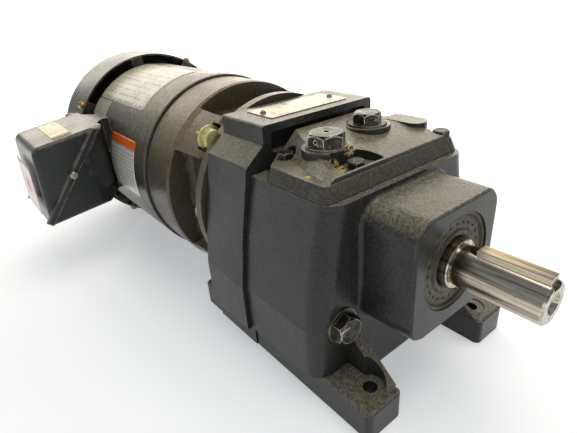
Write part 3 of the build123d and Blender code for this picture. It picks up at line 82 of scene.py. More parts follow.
# ---------------------------------------------------------------- material building
class Look:
    """One node material being put together around a Principled shader."""

    def __init__(self, name, metallic=0.0, coat=0.0, coat_roughness=0.1, specular=0.5):
        self.material = bpy.data.materials.new(name)
        self.material.use_nodes = True
        self.nodes = self.material.node_tree.nodes
        self.links = self.material.node_tree.links
        self.shader = self.nodes["Principled BSDF"]
        self.shader.inputs["Metallic"].default_value = metallic
        self.shader.inputs["Coat Weight"].default_value = coat
        self.shader.inputs["Coat Roughness"].default_value = coat_roughness
        self.shader.inputs["Specular IOR Level"].default_value = specular
        coordinates = self.nodes.new("ShaderNodeTexCoord")
        self.place = coordinates.outputs["Object"]
        self.flat_place = coordinates.outputs["UV"]
        self.normal = None

    def feed(self, socket, value):
        """Link a socket, or set it when the value is a plain number or colour."""
        if isinstance(value, bpy.types.NodeSocket):
            self.links.new(value, socket)
        else:
            socket.default_value = value

    def stretched(self, scale, place=None):
        """Coordinates scaled by a different amount along each axis."""
        node = self.nodes.new("ShaderNodeVectorMath")
        node.operation = "MULTIPLY"
        self.links.new(place or self.place, node.inputs[0])
        node.inputs[1].default_value = scale
        return node.outputs[0]

    def noise(self, scale, detail=3.0, roughness=0.55, place=None):
        """Soft random value from 0 to 1."""
        node = self.nodes.new("ShaderNodeTexNoise")
        self.links.new(place or self.place, node.inputs["Vector"])
        node.inputs["Scale"].default_value = scale
        node.inputs["Detail"].default_value = detail
        node.inputs["Roughness"].default_value = roughness
        return node.outputs[0]

    def cells(self, scale, place=None):
        """Distance to the nearest of many scattered points."""
        node = self.nodes.new("ShaderNodeTexVoronoi")
        self.links.new(place or self.place, node.inputs["Vector"])
        node.inputs["Scale"].default_value = scale
        return node.outputs["Distance"]

    def maths(self, operation, first, second=0.0):
        """One step of arithmetic on sockets or plain numbers."""
        node = self.nodes.new("ShaderNodeMath")
        node.operation = operation
        self.feed(node.inputs[0], first)
        self.feed(node.inputs[1], second)
        return node.outputs[0]

    def fade(self, value, start, end, low=0.0, high=1.0):
        """Smooth change from low to high as the value goes from start to end."""
        node = self.nodes.new("ShaderNodeMapRange")
        node.interpolation_type = "SMOOTHSTEP"
        self.feed(node.inputs["Value"], value)
        node.inputs["From Min"].default_value = start
        node.inputs["From Max"].default_value = end
        node.inputs["To Min"].default_value = low
        node.inputs["To Max"].default_value = high
        return node.outputs["Result"]

    def blend(self, factor, first, second, kind="MIX"):
        """Mix two colours."""
        node = self.nodes.new("ShaderNodeMix")
        node.data_type = "RGBA"
        node.blend_type = kind
        self.feed(node.inputs["Factor"], factor)
        self.feed(node.inputs[6], first)
        self.feed(node.inputs[7], second)
        return node.outputs[2]

    def axis(self, letter, place=None):
        """One coordinate of the surface point."""
        node = self.nodes.new("ShaderNodeSeparateXYZ")
        self.links.new(place or self.place, node.inputs[0])
        return node.outputs[letter]

    def distance(self, point):
        """Distance from a point of the object."""
        node = self.nodes.new("ShaderNodeVectorMath")
        node.operation = "DISTANCE"
        self.links.new(self.place, node.inputs[0])
        node.inputs[1].default_value = point
        return node.outputs["Value"]

    def facing(self, letter):
        """How far the surface faces along an axis, from -1 to 1."""
        node = self.nodes.new("ShaderNodeNewGeometry")
        split = self.nodes.new("ShaderNodeSeparateXYZ")
        self.links.new(node.outputs["Normal"], split.inputs[0])
        return split.outputs[letter]

    def edges(self, radius):
        """1 along the object's edges, 0 away from them."""
        bevel = self.nodes.new("ShaderNodeBevel")
        bevel.samples = 4
        bevel.inputs["Radius"].default_value = radius
        geometry = self.nodes.new("ShaderNodeNewGeometry")
        dot = self.nodes.new("ShaderNodeVectorMath")
        dot.operation = "DOT_PRODUCT"
        self.links.new(bevel.outputs[0], dot.inputs[0])
        self.links.new(geometry.outputs["Normal"], dot.inputs[1])
        return self.fade(dot.outputs["Value"], 1.0 - EDGE_WEAR_SPREAD, EDGE_WEAR_LIMIT, 1.0, 0.0)

    def bump(self, height, depth, strength=1.0):
        """Add relief of the given depth on top of what is there."""
        node = self.nodes.new("ShaderNodeBump")
        node.inputs["Strength"].default_value = strength
        node.inputs["Distance"].default_value = depth
        self.feed(node.inputs["Height"], height)
        if self.normal is not None:
            self.links.new(self.normal, node.inputs["Normal"])
        self.normal = node.outputs[0]

    def finish(self, colour, roughness):
        """Connect the colour, roughness and relief, and give the material."""
        self.feed(self.shader.inputs["Base Color"], colour)
        self.feed(self.shader.inputs["Roughness"], roughness)
        if self.normal is not None:
            self.links.new(self.normal, self.shader.inputs["Normal"])
            self.links.new(self.normal, self.shader.inputs["Coat Normal"])
        return self.material


def cast_relief(look, lumps, depth, mask=None):
    """Sand cast skin under thick paint: soft lumps with a finer orange peel over them."""
    coarse = look.noise(lumps, 2.0, 0.45)
    fine = look.noise(lumps * 2.4, 0.0)
    waves = look.noise(lumps * 0.08, 1.0, 0.5)
    height = look.maths("MULTIPLY_ADD", fine, 0.25)
    look.links.new(coarse, height.node.inputs[2])
    if mask is not None:
        height = look.maths("MULTIPLY", height, mask)
    look.bump(height, depth)
    look.bump(waves, depth * 2.0, 0.4)
    return coarse


def dust_and_painted_sheen(look, colour, film, start, share, grain_scale=620.0):
    """Film of dust and old oil on faces turned upwards, grainy in the paint's texture, which is also
    painted sheen: it lightens the tops as if lit from above.
    """
    up = look.fade(look.facing("Z"), start, 0.95)
    grains = look.fade(look.noise(grain_scale, 3.0), 0.34, 0.66, 0.35, 1.0)
    amount = look.maths("MULTIPLY", look.maths("MULTIPLY", up, grains), share)
    return look.blend(amount, colour, film)


def cast_paint(name, base, light, worn, lumps, depth, film, smooth_mask=None, extra=None):
    """Thick satin paint on a casting, chipped and rubbed along its edges."""
    look = Look(name, specular=0.32)
    rough_area = None
    if smooth_mask is not None:
        machined = smooth_mask(look)
        rough_area = look.maths("SUBTRACT", 1.0, machined)
    skin = cast_relief(look, lumps, depth, rough_area)
    clouds = look.noise(14.0, 3.0, 0.5)
    colour = look.blend(look.fade(clouds, 0.3, 0.75), base, light)
    grain = look.fade(skin, 0.50, 0.68)
    colour = look.blend(look.maths("MULTIPLY", grain, 0.12), colour, worn)
    # Upward faces get a pale film: dust, and painted sheen that lightens the tops as if lit from above.
    colour = dust_and_painted_sheen(look, colour, film, 0.15, 0.85)
    edge = look.edges(1.1 * MM)
    rubbed = look.maths("MULTIPLY", edge, look.fade(look.noise(140.0, 4.0), 0.40, 0.62))
    colour = look.blend(look.maths("MULTIPLY", rubbed, 0.6), colour, worn)
    dust = look.fade(look.noise(900.0, 2.0), 0.70, 0.76)
    up = look.fade(look.facing("Z"), 0.3, 0.9)
    dust = look.maths("MULTIPLY", dust, up)
    colour = look.blend(look.maths("MULTIPLY", dust, 0.5), colour, rgb(176, 166, 140))
    roughness = look.fade(look.noise(60.0, 4.0), 0.3, 0.7, 0.24, 0.34)
    if extra is not None:
        colour, roughness = extra(look, colour, roughness)
    return look.finish(colour, roughness)


def nose_face(look):
    """1 on the milled front face of the nose."""
    return look.maths("GREATER_THAN", look.axis("X"), nose_face_x - MILLED_FACE_DEPTH)


def nose_face_tone(look, colour, roughness):
    """The milled face is flatter and a little bluer, with faint tool rings."""
    face = nose_face(look)
    radius = look.distance((nose_face_x, 0.0, shaft_z))
    ring_waves = 5200.0
    rings = look.maths("SINE", look.maths("MULTIPLY", radius, ring_waves))
    look.bump(look.maths("MULTIPLY", rings, face), 0.02 * MM, 0.5)
    scuff = look.fade(look.noise(240.0, 4.0), 0.55, 0.75)
    tone = look.blend(scuff, rgb(50, 52, 50), rgb(72, 72, 64))
    return look.blend(face, colour, tone), roughness


def crumb_stain(look, colour, roughness):
    """Dried yellow sealant crumbs beside the breather plug and in the screw pocket."""
    plug_side = Vector((breather_high.x + 2 * MM, breather_high.y - 3 * MM, breather_low.z + 12 * MM))
    screw_side = Vector((cover_high.x - 19 * MM, cover_low.y + 29 * MM, cover_low.z + 9 * MM))
    lone_crumb = Vector((cover_high.x - 22 * MM, cover_low.y + 8 * MM, cover_low.z + 9 * MM))
    crumbs = look.noise(420.0, 3.0)
    amount = None
    patches = (
        (plug_side, 11 * MM, 0.50),
        (screw_side, 12 * MM, 0.52),
        (lone_crumb, 3 * MM, 0.30),
    )
    for point, reach, threshold in patches:
        near = look.fade(look.distance(point), reach * 0.4, reach, 1.0, 0.0)
        spot = look.fade(look.maths("MULTIPLY", near, crumbs), threshold * 0.8, threshold)
        amount = spot if amount is None else look.maths("MAXIMUM", amount, spot)
    look.bump(look.maths("MULTIPLY", amount, crumbs), 0.8 * MM)
    yellow = look.blend(look.fade(look.noise(700.0), 0.4, 0.65), rgb(214, 186, 104), rgb(236, 220, 170))
    colour = look.blend(amount, colour, yellow)
    return colour, look.blend(amount, roughness, (0.8, 0.8, 0.8, 1.0))


def smooth_paint(name, base, light, worn, film, coat=0.12, edge_share=0.8):
    """Sprayed enamel on sheet metal: fine orange peel, scuffs, bare worn edges that on the fan shroud are
    also a painted rim highlight, and a top film of dust and painted sheen.
    """
    look = Look(name, coat=coat, coat_roughness=0.16, specular=0.32)
    look.bump(look.noise(900.0, 2.0), 0.08 * MM, 0.6)
    look.bump(look.noise(40.0, 3.0), 0.4 * MM, 0.35)
    colour = look.blend(look.fade(look.noise(14.0, 4.0), 0.35, 0.7), base, light)
    scuffs = look.fade(look.noise(50.0, 6.0, 0.7, look.stretched((0.25, 1.0, 1.0))), 0.60, 0.74)
    colour = look.blend(look.maths("MULTIPLY", scuffs, 0.30), colour, worn)
    # Upward faces get a pale film: dust, and painted sheen that lightens the tops as if lit from above.
    colour = dust_and_painted_sheen(look, colour, film, 0.0, 0.55, 240.0)
    # Worn bare edges; on the fan shroud, with its pale worn colour and 0.95 share, the bright rim is also
    # a painted highlight.
    edge = look.maths("MULTIPLY", look.edges(1.2 * MM), look.fade(look.noise(90.0, 4.0), 0.30, 0.6))
    colour = look.blend(look.maths("MULTIPLY", edge, edge_share), colour, worn)
    roughness = look.fade(look.noise(35.0, 5.0), 0.3, 0.7, 0.28, 0.40)
    return look.finish(colour, roughness)


def turned_steel(name, base, dark, roughness_low=0.16, roughness_high=0.34, rust=0.0):
    """Turned steel bar: fine tool rings, long light and dark streaks that are painted reflections, a film
    of oil and handling marks.
    """
    look = Look(name, metallic=1.0)
    rings = look.noise(1.0, 3.0, 0.7, look.stretched((2600.0, 30.0, 30.0)))
    look.bump(rings, 0.04 * MM, 0.55)
    # Painted reflection: light and dark bands along the bar stand for the long highlights a turned
    # cylinder shows.
    reflection_streaks = look.noise(1.0, 3.0, 0.6, look.stretched((14.0, 420.0, 420.0)))
    colour = look.blend(look.fade(reflection_streaks, 0.35, 0.68), base, dark)
    marks = look.fade(look.noise(120.0, 6.0, 0.7), 0.58, 0.72)
    colour = look.blend(look.maths("MULTIPLY", marks, 0.45), colour, dark)
    if rust > 0:
        spots = look.fade(look.noise(65.0, 5.0, 0.65), 0.60, 0.74)
        colour = look.blend(look.maths("MULTIPLY", spots, rust), colour, rgb(128, 92, 60))
    edge = look.edges(0.6 * MM)
    colour = look.blend(look.maths("MULTIPLY", edge, 0.6), colour, rgb(232, 226, 214))
    roughness = look.fade(marks, 0.0, 1.0, roughness_low, roughness_high)
    return look.finish(colour, roughness)


def hex_metal(name, base, bright, stain, roughness=0.3, metallic=0.9, edge_radius=0.9 * MM):
    """Cold headed bolt steel: dark faces, bright rubbed edges, spanner marks."""
    look = Look(name, metallic=metallic)
    look.bump(look.noise(700.0, 3.0), 0.12 * MM, 0.6)
    look.bump(look.cells(260.0), 0.1 * MM, 0.4)
    colour = look.blend(look.fade(look.noise(160.0, 4.0), 0.4, 0.66), base, stain)
    scratch = look.fade(look.noise(1.0, 4.0, 0.7, look.stretched((500.0, 90.0, 300.0))), 0.60, 0.70)
    colour = look.blend(look.maths("MULTIPLY", scratch, 0.5), colour, bright)
    edge = look.maths("MULTIPLY", look.edges(edge_radius), look.fade(look.noise(300.0, 3.0), 0.25, 0.5))
    colour = look.blend(edge, colour, bright)
    rough = look.fade(look.noise(220.0, 4.0), 0.3, 0.7, roughness - 0.08, roughness + 0.14)
    return look.finish(colour, rough)


def plain_alloy(name, base, light, lumps=500.0):
    """Bare die cast alloy with a dull grainy skin."""
    look = Look(name, metallic=0.85)
    skin = look.noise(lumps, 4.0, 0.65)
    look.bump(skin, 0.2 * MM, 0.8)
    colour = look.blend(look.fade(skin, 0.4, 0.65), base, light)
    edge = look.edges(1.0 * MM)
    colour = look.blend(look.maths("MULTIPLY", edge, 0.5), colour, rgb(205, 205, 205))
    roughness = look.fade(look.noise(90.0, 4.0), 0.3, 0.7, 0.42, 0.62)
    return look.finish(colour, roughness)


def laminated_steel(name):
    """Stack of thin punched sheets, seen as fine rings across the shaft."""
    look = Look(name, metallic=0.8)
    sheets = look.maths("SINE", look.maths("MULTIPLY", look.axis("X"), 2 * pi / LAMINATION_PITCH))
    look.bump(sheets, 0.05 * MM, 0.7)
    stain = look.fade(look.noise(80.0, 4.0), 0.4, 0.65)
    colour = look.blend(stain, rgb(88, 92, 100), rgb(120, 116, 108))
    return look.finish(colour, look.fade(look.noise(200.0), 0.3, 0.7, 0.4, 0.6))


def copper_wire(name):
    """Varnished copper wire laid in bundles."""
    look = Look(name, metallic=0.9, coat=0.5, coat_roughness=0.2)
    wires = look.noise(1.0, 2.0, 0.5, look.stretched((1400.0, 260.0, 260.0)))
    look.bump(wires, 0.5 * MM)
    colour = look.blend(look.fade(wires, 0.35, 0.65), rgb(120, 60, 30), rgb(206, 122, 70))
    return look.finish(colour, look.fade(look.noise(120.0), 0.3, 0.7, 0.28, 0.45))


def oily_rubber(name, base, light, rings_from=None):
    """Moulded rubber, matt with a greasy bloom."""
    look = Look(name, specular=0.4)
    look.bump(look.noise(1100.0, 3.0), 0.1 * MM, 0.7)
    bloom = look.fade(look.noise(110.0, 5.0, 0.65), 0.42, 0.68)
    colour = look.blend(bloom, base, light)
    if rings_from is not None:
        radius = look.distance(rings_from)
        ring_waves = 1500.0
        ridge = look.maths("SINE", look.maths("MULTIPLY", radius, ring_waves))
        look.bump(ridge, 0.15 * MM, 0.6)
        # Darker in the troughs between the ring ridges.
        darkening = look.maths("MULTIPLY", look.fade(ridge, -0.2, -0.9), 0.5)
        colour = look.blend(darkening, colour, rgb(26, 24, 20))
    grit = look.fade(look.noise(800.0, 2.0), 0.66, 0.74)
    colour = look.blend(look.maths("MULTIPLY", grit, 0.6), colour, rgb(150, 140, 110))
    return look.finish(colour, look.fade(look.noise(300.0), 0.3, 0.7, 0.42, 0.62))


def gasket_fibre(name):
    """Compressed fibre sheet, nearly black with oil."""
    look = Look(name)
    look.bump(look.noise(1500.0, 4.0), 0.1 * MM)
    colour = look.blend(look.fade(look.noise(300.0, 4.0), 0.4, 0.65), rgb(34, 28, 22), rgb(66, 54, 40))
    return look.finish(colour, look.fade(look.noise(90.0), 0.3, 0.7, 0.6, 0.85))


def moulded_plastic(name, base, light):
    """Ribbed black fan plastic with patches of dust."""
    look = Look(name)
    look.bump(look.noise(1200.0, 2.0), 0.06 * MM)
    dusty = look.fade(look.noise(45.0, 5.0), 0.45, 0.7)
    colour = look.blend(dusty, base, light)
    return look.finish(colour, look.fade(dusty, 0.0, 1.0, 0.38, 0.62))


def bare_plate(name):
    """Brushed aluminium name plate: engraved border and blank fields, no lettering."""
    look = Look(name, metallic=0.55)
    brush = look.noise(1.0, 3.0, 0.6, look.stretched((2200.0, 60.0, 60.0)))
    look.bump(brush, 0.02 * MM, 0.6)
    along = look.axis("Y")
    across = look.axis("X")
    middle_x = (plate_low.x + plate_high.x) / 2
    colour = look.blend(look.fade(brush, 0.3, 0.7), rgb(188, 176, 156), rgb(214, 204, 184))
    tint_width = 30 * MM
    tint = look.fade(along, plate_low.y + tint_width, plate_low.y, 0.0, 0.55)
    tint = look.maths("MULTIPLY", tint, look.fade(look.noise(60.0, 4.0), 0.35, 0.6))
    colour = look.blend(tint, colour, rgb(196, 148, 130))
    half_width = (plate_high.x - plate_low.x) / 2
    border_inset = 2.2 * MM
    border_half_line = 0.35 * MM
    side = look.maths("ABSOLUTE", look.maths("SUBTRACT", across, middle_x))
    border = look.maths("COMPARE", side, half_width - border_inset)
    border.node.inputs[2].default_value = border_half_line
    rows = look.maths("FRACT", look.maths("MULTIPLY", across, 1 / ENGRAVING_ROW))
    line = look.maths("LESS_THAN", rows, 0.09)
    line_end = 24.5 * MM
    line_fade = 0.5 * MM
    inside = look.fade(look.maths("ABSOLUTE", along), line_end, line_end - line_fade)
    line = look.maths("MULTIPLY", line, inside)
    engraved = look.maths("MAXIMUM", border, line)
    look.bump(engraved, -0.1 * MM)
    colour = look.blend(look.maths("MULTIPLY", engraved, 0.55), colour, rgb(60, 54, 46))
    grime = look.fade(look.noise(130.0, 5.0, 0.65), 0.52, 0.70)
    colour = look.blend(look.maths("MULTIPLY", grime, 0.55), colour, rgb(96, 86, 70))
    return look.finish(colour, look.fade(grime, 0.0, 1.0, 0.30, 0.55))


def printed_film(name, paper, ink, rows, band=None, band_share=0.0, fill=0.5, ruled=0.03, spot=None):
    """Printed label film: ruled rows of blank grey bars that stand for its print, no lettering."""
    look = Look(name, coat=0.3, coat_roughness=0.2)
    along = look.axis("X", look.flat_place)
    down = look.axis("Y", look.flat_place)
    row_place = look.maths("MULTIPLY", down, rows)
    within = look.maths("FRACT", row_place)
    row_number = look.maths("FLOOR", row_place)
    from_bar_middle = look.maths("ABSOLUTE", look.maths("SUBTRACT", within, 0.55))
    bar_height = look.maths("LESS_THAN", from_bar_middle, 0.17)
    join = look.nodes.new("ShaderNodeCombineXYZ")
    look.feed(join.inputs[0], look.maths("MULTIPLY", along, 26.0))
    look.feed(join.inputs[1], look.maths("MULTIPLY", row_number, 7.3))
    words = look.noise(1.0, 0.0, 0.5, join.outputs[0])
    words = look.maths("GREATER_THAN", words, 1.0 - fill)
    from_middle = look.maths("ABSOLUTE", look.maths("SUBTRACT", along, 0.5))
    inside = look.maths("LESS_THAN", from_middle, 0.45)
    bars = look.maths("MULTIPLY", look.maths("MULTIPLY", bar_height, words), inside)
    rules = look.maths("LESS_THAN", look.maths("FRACT", look.maths("MULTIPLY", row_place, 0.5)), ruled)
    mark = look.maths("MAXIMUM", look.maths("MULTIPLY", bars, 0.55), look.maths("MULTIPLY", rules, 0.7))
    aged_paper = tuple(value * 0.86 for value in paper[:3]) + (1.0,)
    aged = look.blend(look.fade(look.noise(55.0, 5.0, 0.65), 0.35, 0.7), paper, aged_paper)
    if band is not None:
        in_band = look.maths("LESS_THAN", down, band_share)
        mark = look.maths("MULTIPLY", mark, look.maths("SUBTRACT", 1.0, in_band))
        aged = look.blend(in_band, aged, band)
    colour = look.blend(mark, aged, ink)
    if spot is not None:
        offset = look.nodes.new("ShaderNodeVectorMath")
        offset.operation = "DISTANCE"
        look.links.new(look.flat_place, offset.inputs[0])
        offset.inputs[1].default_value = (0.5, 0.5, 0.0)
        round_mark = look.fade(offset.outputs["Value"], 0.17, 0.15)
        colour = look.blend(round_mark, colour, spot)
    # Patches of dirt on the film.
    darkening = look.fade(look.noise(260.0, 5.0, 0.7), 0.58, 0.72)
    colour = look.blend(look.maths("MULTIPLY", darkening, 0.35), colour, rgb(120, 108, 84))
    look.bump(look.noise(160.0, 2.0), 0.12 * MM, 0.5)
    return look.finish(colour, look.fade(look.noise(70.0), 0.3, 0.7, 0.28, 0.48))


# ---------------------------------------------------------------- the materials of the CAD nodes
def coat_nodes(material, *node_names):
    """Give CAD nodes their one material."""
    for node_name in node_names:
        slots = frame["nodes"][node_name].data.materials
        slots.clear()
        slots.append(material)


def dress_castings():
    """Grey castings of the reducer and the browner casting of the adapter."""
    grey = rgb(38, 39, 39)
    grey_light = rgb(50, 50, 47)
    worn = rgb(118, 114, 100)
    # dust, and the last colours given to the cover and the adapter, are the top film colours: dust, and
    # painted sheen lightening the upward faces.
    dust = rgb(150, 143, 122)
    housing = cast_paint(
        "housing_cast", grey, grey_light, worn, 620.0, 0.18 * MM, dust, nose_face, nose_face_tone)
    coat_nodes(housing, "gear_housing")
    cover = cast_paint(
        "cover_cast", rgb(42, 42, 40), rgb(54, 53, 48), worn, 620.0, 0.18 * MM, rgb(162, 154, 130),
        extra=crumb_stain)
    coat_nodes(cover, "inspection_cover")
    rear = cast_paint("rear_cast", grey, grey_light, worn, 640.0, 0.17 * MM, dust)
    coat_nodes(rear, "rear_housing")
    adapter = cast_paint(
        "adapter_cast", rgb(66, 60, 50), rgb(80, 73, 60), rgb(132, 120, 98), 560.0, 0.22 * MM,
        rgb(168, 151, 119))
    coat_nodes(adapter, "adapter_flange", "adapter_ribs", "adapter_rim")


def dress_motor():
    """Enamelled sheet metal outside, bare alloy, steel, copper and plastic inside."""
    # The last colour of each enamel is its top film: dust, and painted sheen lightening the upward faces.
    band = smooth_paint(
        "motor_enamel", rgb(48, 50, 50), rgb(57, 58, 56), rgb(128, 124, 112), rgb(186, 170, 136))
    # The shroud's pale worn colour with a 0.95 edge share makes its rim bright: worn bare edges, and a
    # painted highlight along the rim.
    shroud = smooth_paint(
        "shroud_enamel", rgb(42, 42, 41), rgb(54, 53, 49), rgb(170, 164, 150), rgb(140, 132, 112),
        0.15, 0.95)
    box = smooth_paint(
        "box_enamel", rgb(34, 36, 37), rgb(44, 45, 44), rgb(186, 178, 164), rgb(158, 149, 122),
        0.2, 0.8)
    coat_nodes(band, "motor_frame")
    coat_nodes(shroud, "fan_cover")
    coat_nodes(box, "conduit_box_base", "conduit_box_cover")
    bell = plain_alloy("bell_alloy", rgb(96, 96, 96), rgb(140, 140, 138))
    coat_nodes(bell, "front_end_bell", "rear_end_bell")
    rotor = plain_alloy("rotor_alloy", rgb(120, 120, 122), rgb(160, 160, 160), 700.0)
    coat_nodes(rotor, "rotor_core")
    coat_nodes(laminated_steel("stator_sheets"), "stator_core")
    coat_nodes(copper_wire("stator_copper"), "stator_windings")
    fan = moulded_plastic("fan_black", rgb(24, 24, 25), rgb(58, 56, 52))
    coat_nodes(fan, "cooling_fan")


def dress_fasteners():
    """Plugs, washers, screws and bolts, from dark steel to yellow zinc."""
    plug = hex_metal("plug_dark_steel", rgb(70, 67, 60), rgb(236, 230, 214), rgb(42, 40, 36), 0.30)
    coat_nodes(plug, "breather_plug", "fill_plug", "drain_plug", "level_plug")
    washer = hex_metal("washer_steel", rgb(112, 106, 94), rgb(206, 198, 180), rgb(70, 64, 54), 0.4)
    coat_nodes(washer, "plug_washers")
    small = hex_metal(
        "small_screw_steel", rgb(168, 162, 150), rgb(240, 236, 226), rgb(110, 104, 92), 0.28)
    coat_nodes(small, "name_plate_rivets", "conduit_box_screws", "conduit_base_screws")
    black = hex_metal(
        "black_screw_steel", rgb(62, 60, 55), rgb(168, 160, 144), rgb(40, 38, 34), 0.42, 0.6)
    coat_nodes(black, "cover_screws", "rear_housing_bolts", "through_bolts")
    zinc = hex_metal(
        "yellow_zinc", rgb(228, 222, 160), rgb(246, 244, 214), rgb(202, 190, 118), 0.42, 0.35)
    coat_nodes(zinc, "adapter_bolts", "motor_flange_bolts")
    gold = hex_metal("gold_screw", rgb(190, 160, 84), rgb(244, 226, 160), rgb(140, 110, 52), 0.32, 0.85)
    coat_nodes(gold, "fan_cover_screws")


def dress_running_parts():
    """Shafts, keys, gears, bearings, coupling, seals, gaskets and the name plate."""
    bright = turned_steel("shaft_steel", rgb(206, 198, 182), rgb(128, 120, 106), rust=0.25)
    coat_nodes(bright, "output_shaft")
    key = turned_steel("key_steel", rgb(218, 204, 180), rgb(150, 132, 108), 0.28, 0.46, 0.3)
    coat_nodes(key, "output_key", "output_gear_key", "intermediate_gear_key", "input_coupling_key",
               "motor_shaft_key")
    gear = turned_steel("gear_steel", rgb(150, 150, 150), rgb(96, 94, 90), 0.22, 0.4)
    coat_nodes(gear, "output_gear", "intermediate_gear", "intermediate_shaft", "input_shaft",
               "output_spacer", "motor_shaft")
    race = turned_steel("bearing_steel", rgb(200, 200, 200), rgb(150, 150, 150), 0.1, 0.22)
    coat_nodes(race, "output_front_bearing_outer", "output_front_bearing_inner",
               "output_rear_bearing_outer", "output_rear_bearing_inner", "intermediate_bearing_outers",
               "intermediate_bearing_inners", "input_bearing_outers", "input_bearing_inners",
               "motor_bearing_outers", "motor_bearing_inners")
    hub = plain_alloy("hub_iron", rgb(80, 80, 82), rgb(112, 110, 106))
    coat_nodes(hub, "coupling_hub_input", "coupling_hub_motor")
    coat_nodes(oily_rubber("star_rubber", rgb(150, 40, 26), rgb(176, 70, 50)), "coupling_spider")
    seal_face = (seal_front_x, 0.0, shaft_z)
    coat_nodes(oily_rubber("seal_rubber", rgb(66, 58, 44), rgb(96, 90, 70), seal_face), "output_seal")
    coat_nodes(oily_rubber("inner_seal_rubber", rgb(40, 36, 32), rgb(64, 60, 54)), "input_seal")
    coat_nodes(gasket_fibre("gasket_fibre"), "cover_gasket", "rear_gasket")
    coat_nodes(bare_plate("name_plate_metal"), "name_plate")


# ---------------------------------------------------------------- labels
def sheet_piece(name, across, down, place_at):
    """Thin film from a grid of points: place_at(u, v) gives a point and the outward normal."""
    mesh = bpy.data.meshes.new(name)
    build = bmesh.new()
    uv_layer = build.loops.layers.uv.new("film")
    grids = []
    for lift in (FILM_THICKNESS, 0.0):
        grid = []
        for row in range(down + 1):
            line = []
            for column in range(across + 1):
                point, normal = place_at(column / across, row / down)
                line.append(build.verts.new(point + normal * (lift + FILM_CLEARANCE)))
            grid.append(line)
        grids.append(grid)
    top, bottom = grids
    for row in range(down):
        for column in range(across):
            corners = ((row, column), (row + 1, column), (row + 1, column + 1), (row, column + 1))
            for grid, order in ((top, corners), (bottom, corners[::-1])):
                face = build.faces.new([grid[r][c] for r, c in order])
                for loop, (r, c) in zip(face.loops, order):
                    loop[uv_layer].uv = (c / across, r / down)
    rim = [(0, c) for c in range(across)] + [(r, across) for r in range(down)]
    rim += [(down, c) for c in range(across, 0, -1)] + [(r, 0) for r in range(down, 0, -1)]
    for (r1, c1), (r2, c2) in zip(rim, rim[1:] + rim[:1]):
        face = build.faces.new([top[r1][c1], top[r2][c2], bottom[r2][c2], bottom[r1][c1]])
        for loop in face.loops:
            loop[uv_layer].uv = (c1 / across, r1 / down)
    bmesh.ops.recalc_face_normals(build, faces=build.faces)
    build.to_mesh(mesh)
    build.free()
    smallest_face = 1e-6
    for polygon in mesh.polygons:
        polygon.use_smooth = len(polygon.vertices) == 4 and polygon.area > smallest_face
    piece = bpy.data.objects.new(name, mesh)
    bpy.context.scene.collection.objects.link(piece)
    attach(piece, "case")
    return piece


def soft_corner(share, sheet_width, sheet_length, other, radius):
    """How far a label's side is pulled in near its end, for a rounded corner."""
    from_end = min(other, 1 - other) * sheet_length
    if from_end >= radius:
        return share
    pull = radius - (radius ** 2 - (radius - from_end) ** 2) ** 0.5
    return 0.5 + (share - 0.5) * (1 - 2 * pull / sheet_width)


def motor_label(name, x_rear, x_front, top_angle, bottom_angle, material, corner=2.0 * MM):
    """Label wrapped on the motor frame between two angles, counted from +Y over the top."""
    radius = motor_radius
    length = x_front - x_rear
    width = radians(bottom_angle - top_angle) * radius

    def place_at(u, v):
        v_soft = soft_corner(v, width, length, u, corner)
        angle = radians(top_angle + (bottom_angle - top_angle) * v_soft)
        normal = Vector((0.0, cos(angle), sin(angle)))
        point = Vector((x_rear + length * u, 0.0, shaft_z)) + normal * radius
        return point, normal

    piece = sheet_piece(name, LABEL_STEPS, LABEL_STEPS, place_at)
    piece.data.materials.append(material)
    return piece


def flat_label(name, corner_point, along, down, material, corner=1.5 * MM):
    """Flat label from its corner and its two side vectors."""
    normal = along.cross(down).normalized()
    width = down.length
    length = along.length

    def place_at(u, v):
        v_soft = soft_corner(v, width, length, u, corner)
        return corner_point + along * u + down * v_soft, normal

    piece = sheet_piece(name, *FLAT_LABEL_STEPS, place_at)
    piece.data.materials.append(material)
    return piece


def add_motor_labels():
    """Rating, code and notice labels on the motor band, and the small amber tag."""
    rear_x = frame_low.x
    front_x = frame_high.x
    label_rear_x = rear_x + 1.5 * MM
    rating = printed_film("rating_label_film", rgb(232, 224, 196), rgb(96, 94, 86), 10, fill=0.52)
    motor_label("rating_label", label_rear_x, rear_x + 115 * MM, 90.0, 135.4, rating)
    code = printed_film(
        "code_label_film", rgb(196, 188, 168), rgb(150, 142, 124), 9, fill=0.6, ruled=0.0)
    motor_label("code_label", label_rear_x, rear_x + 38 * MM, 136.2, 149.0, code, 1.2 * MM)
    notice = printed_film(
        "notice_label_film", rgb(226, 222, 212), rgb(120, 118, 122), 14, rgb(236, 108, 30), 0.165,
        0.62, 0.0)
    motor_label("notice_label", rear_x + 67 * MM, rear_x + 126 * MM, 154.4, 190.5, notice)
    tag = printed_film("adapter_tag_film", rgb(206, 142, 62), rgb(150, 96, 40), 4, fill=0.4, ruled=0.0)
    motor_label("amber_label", front_x - 36 * MM, front_x - 5 * MM, 84.0, 92.0, tag, 1.2 * MM)


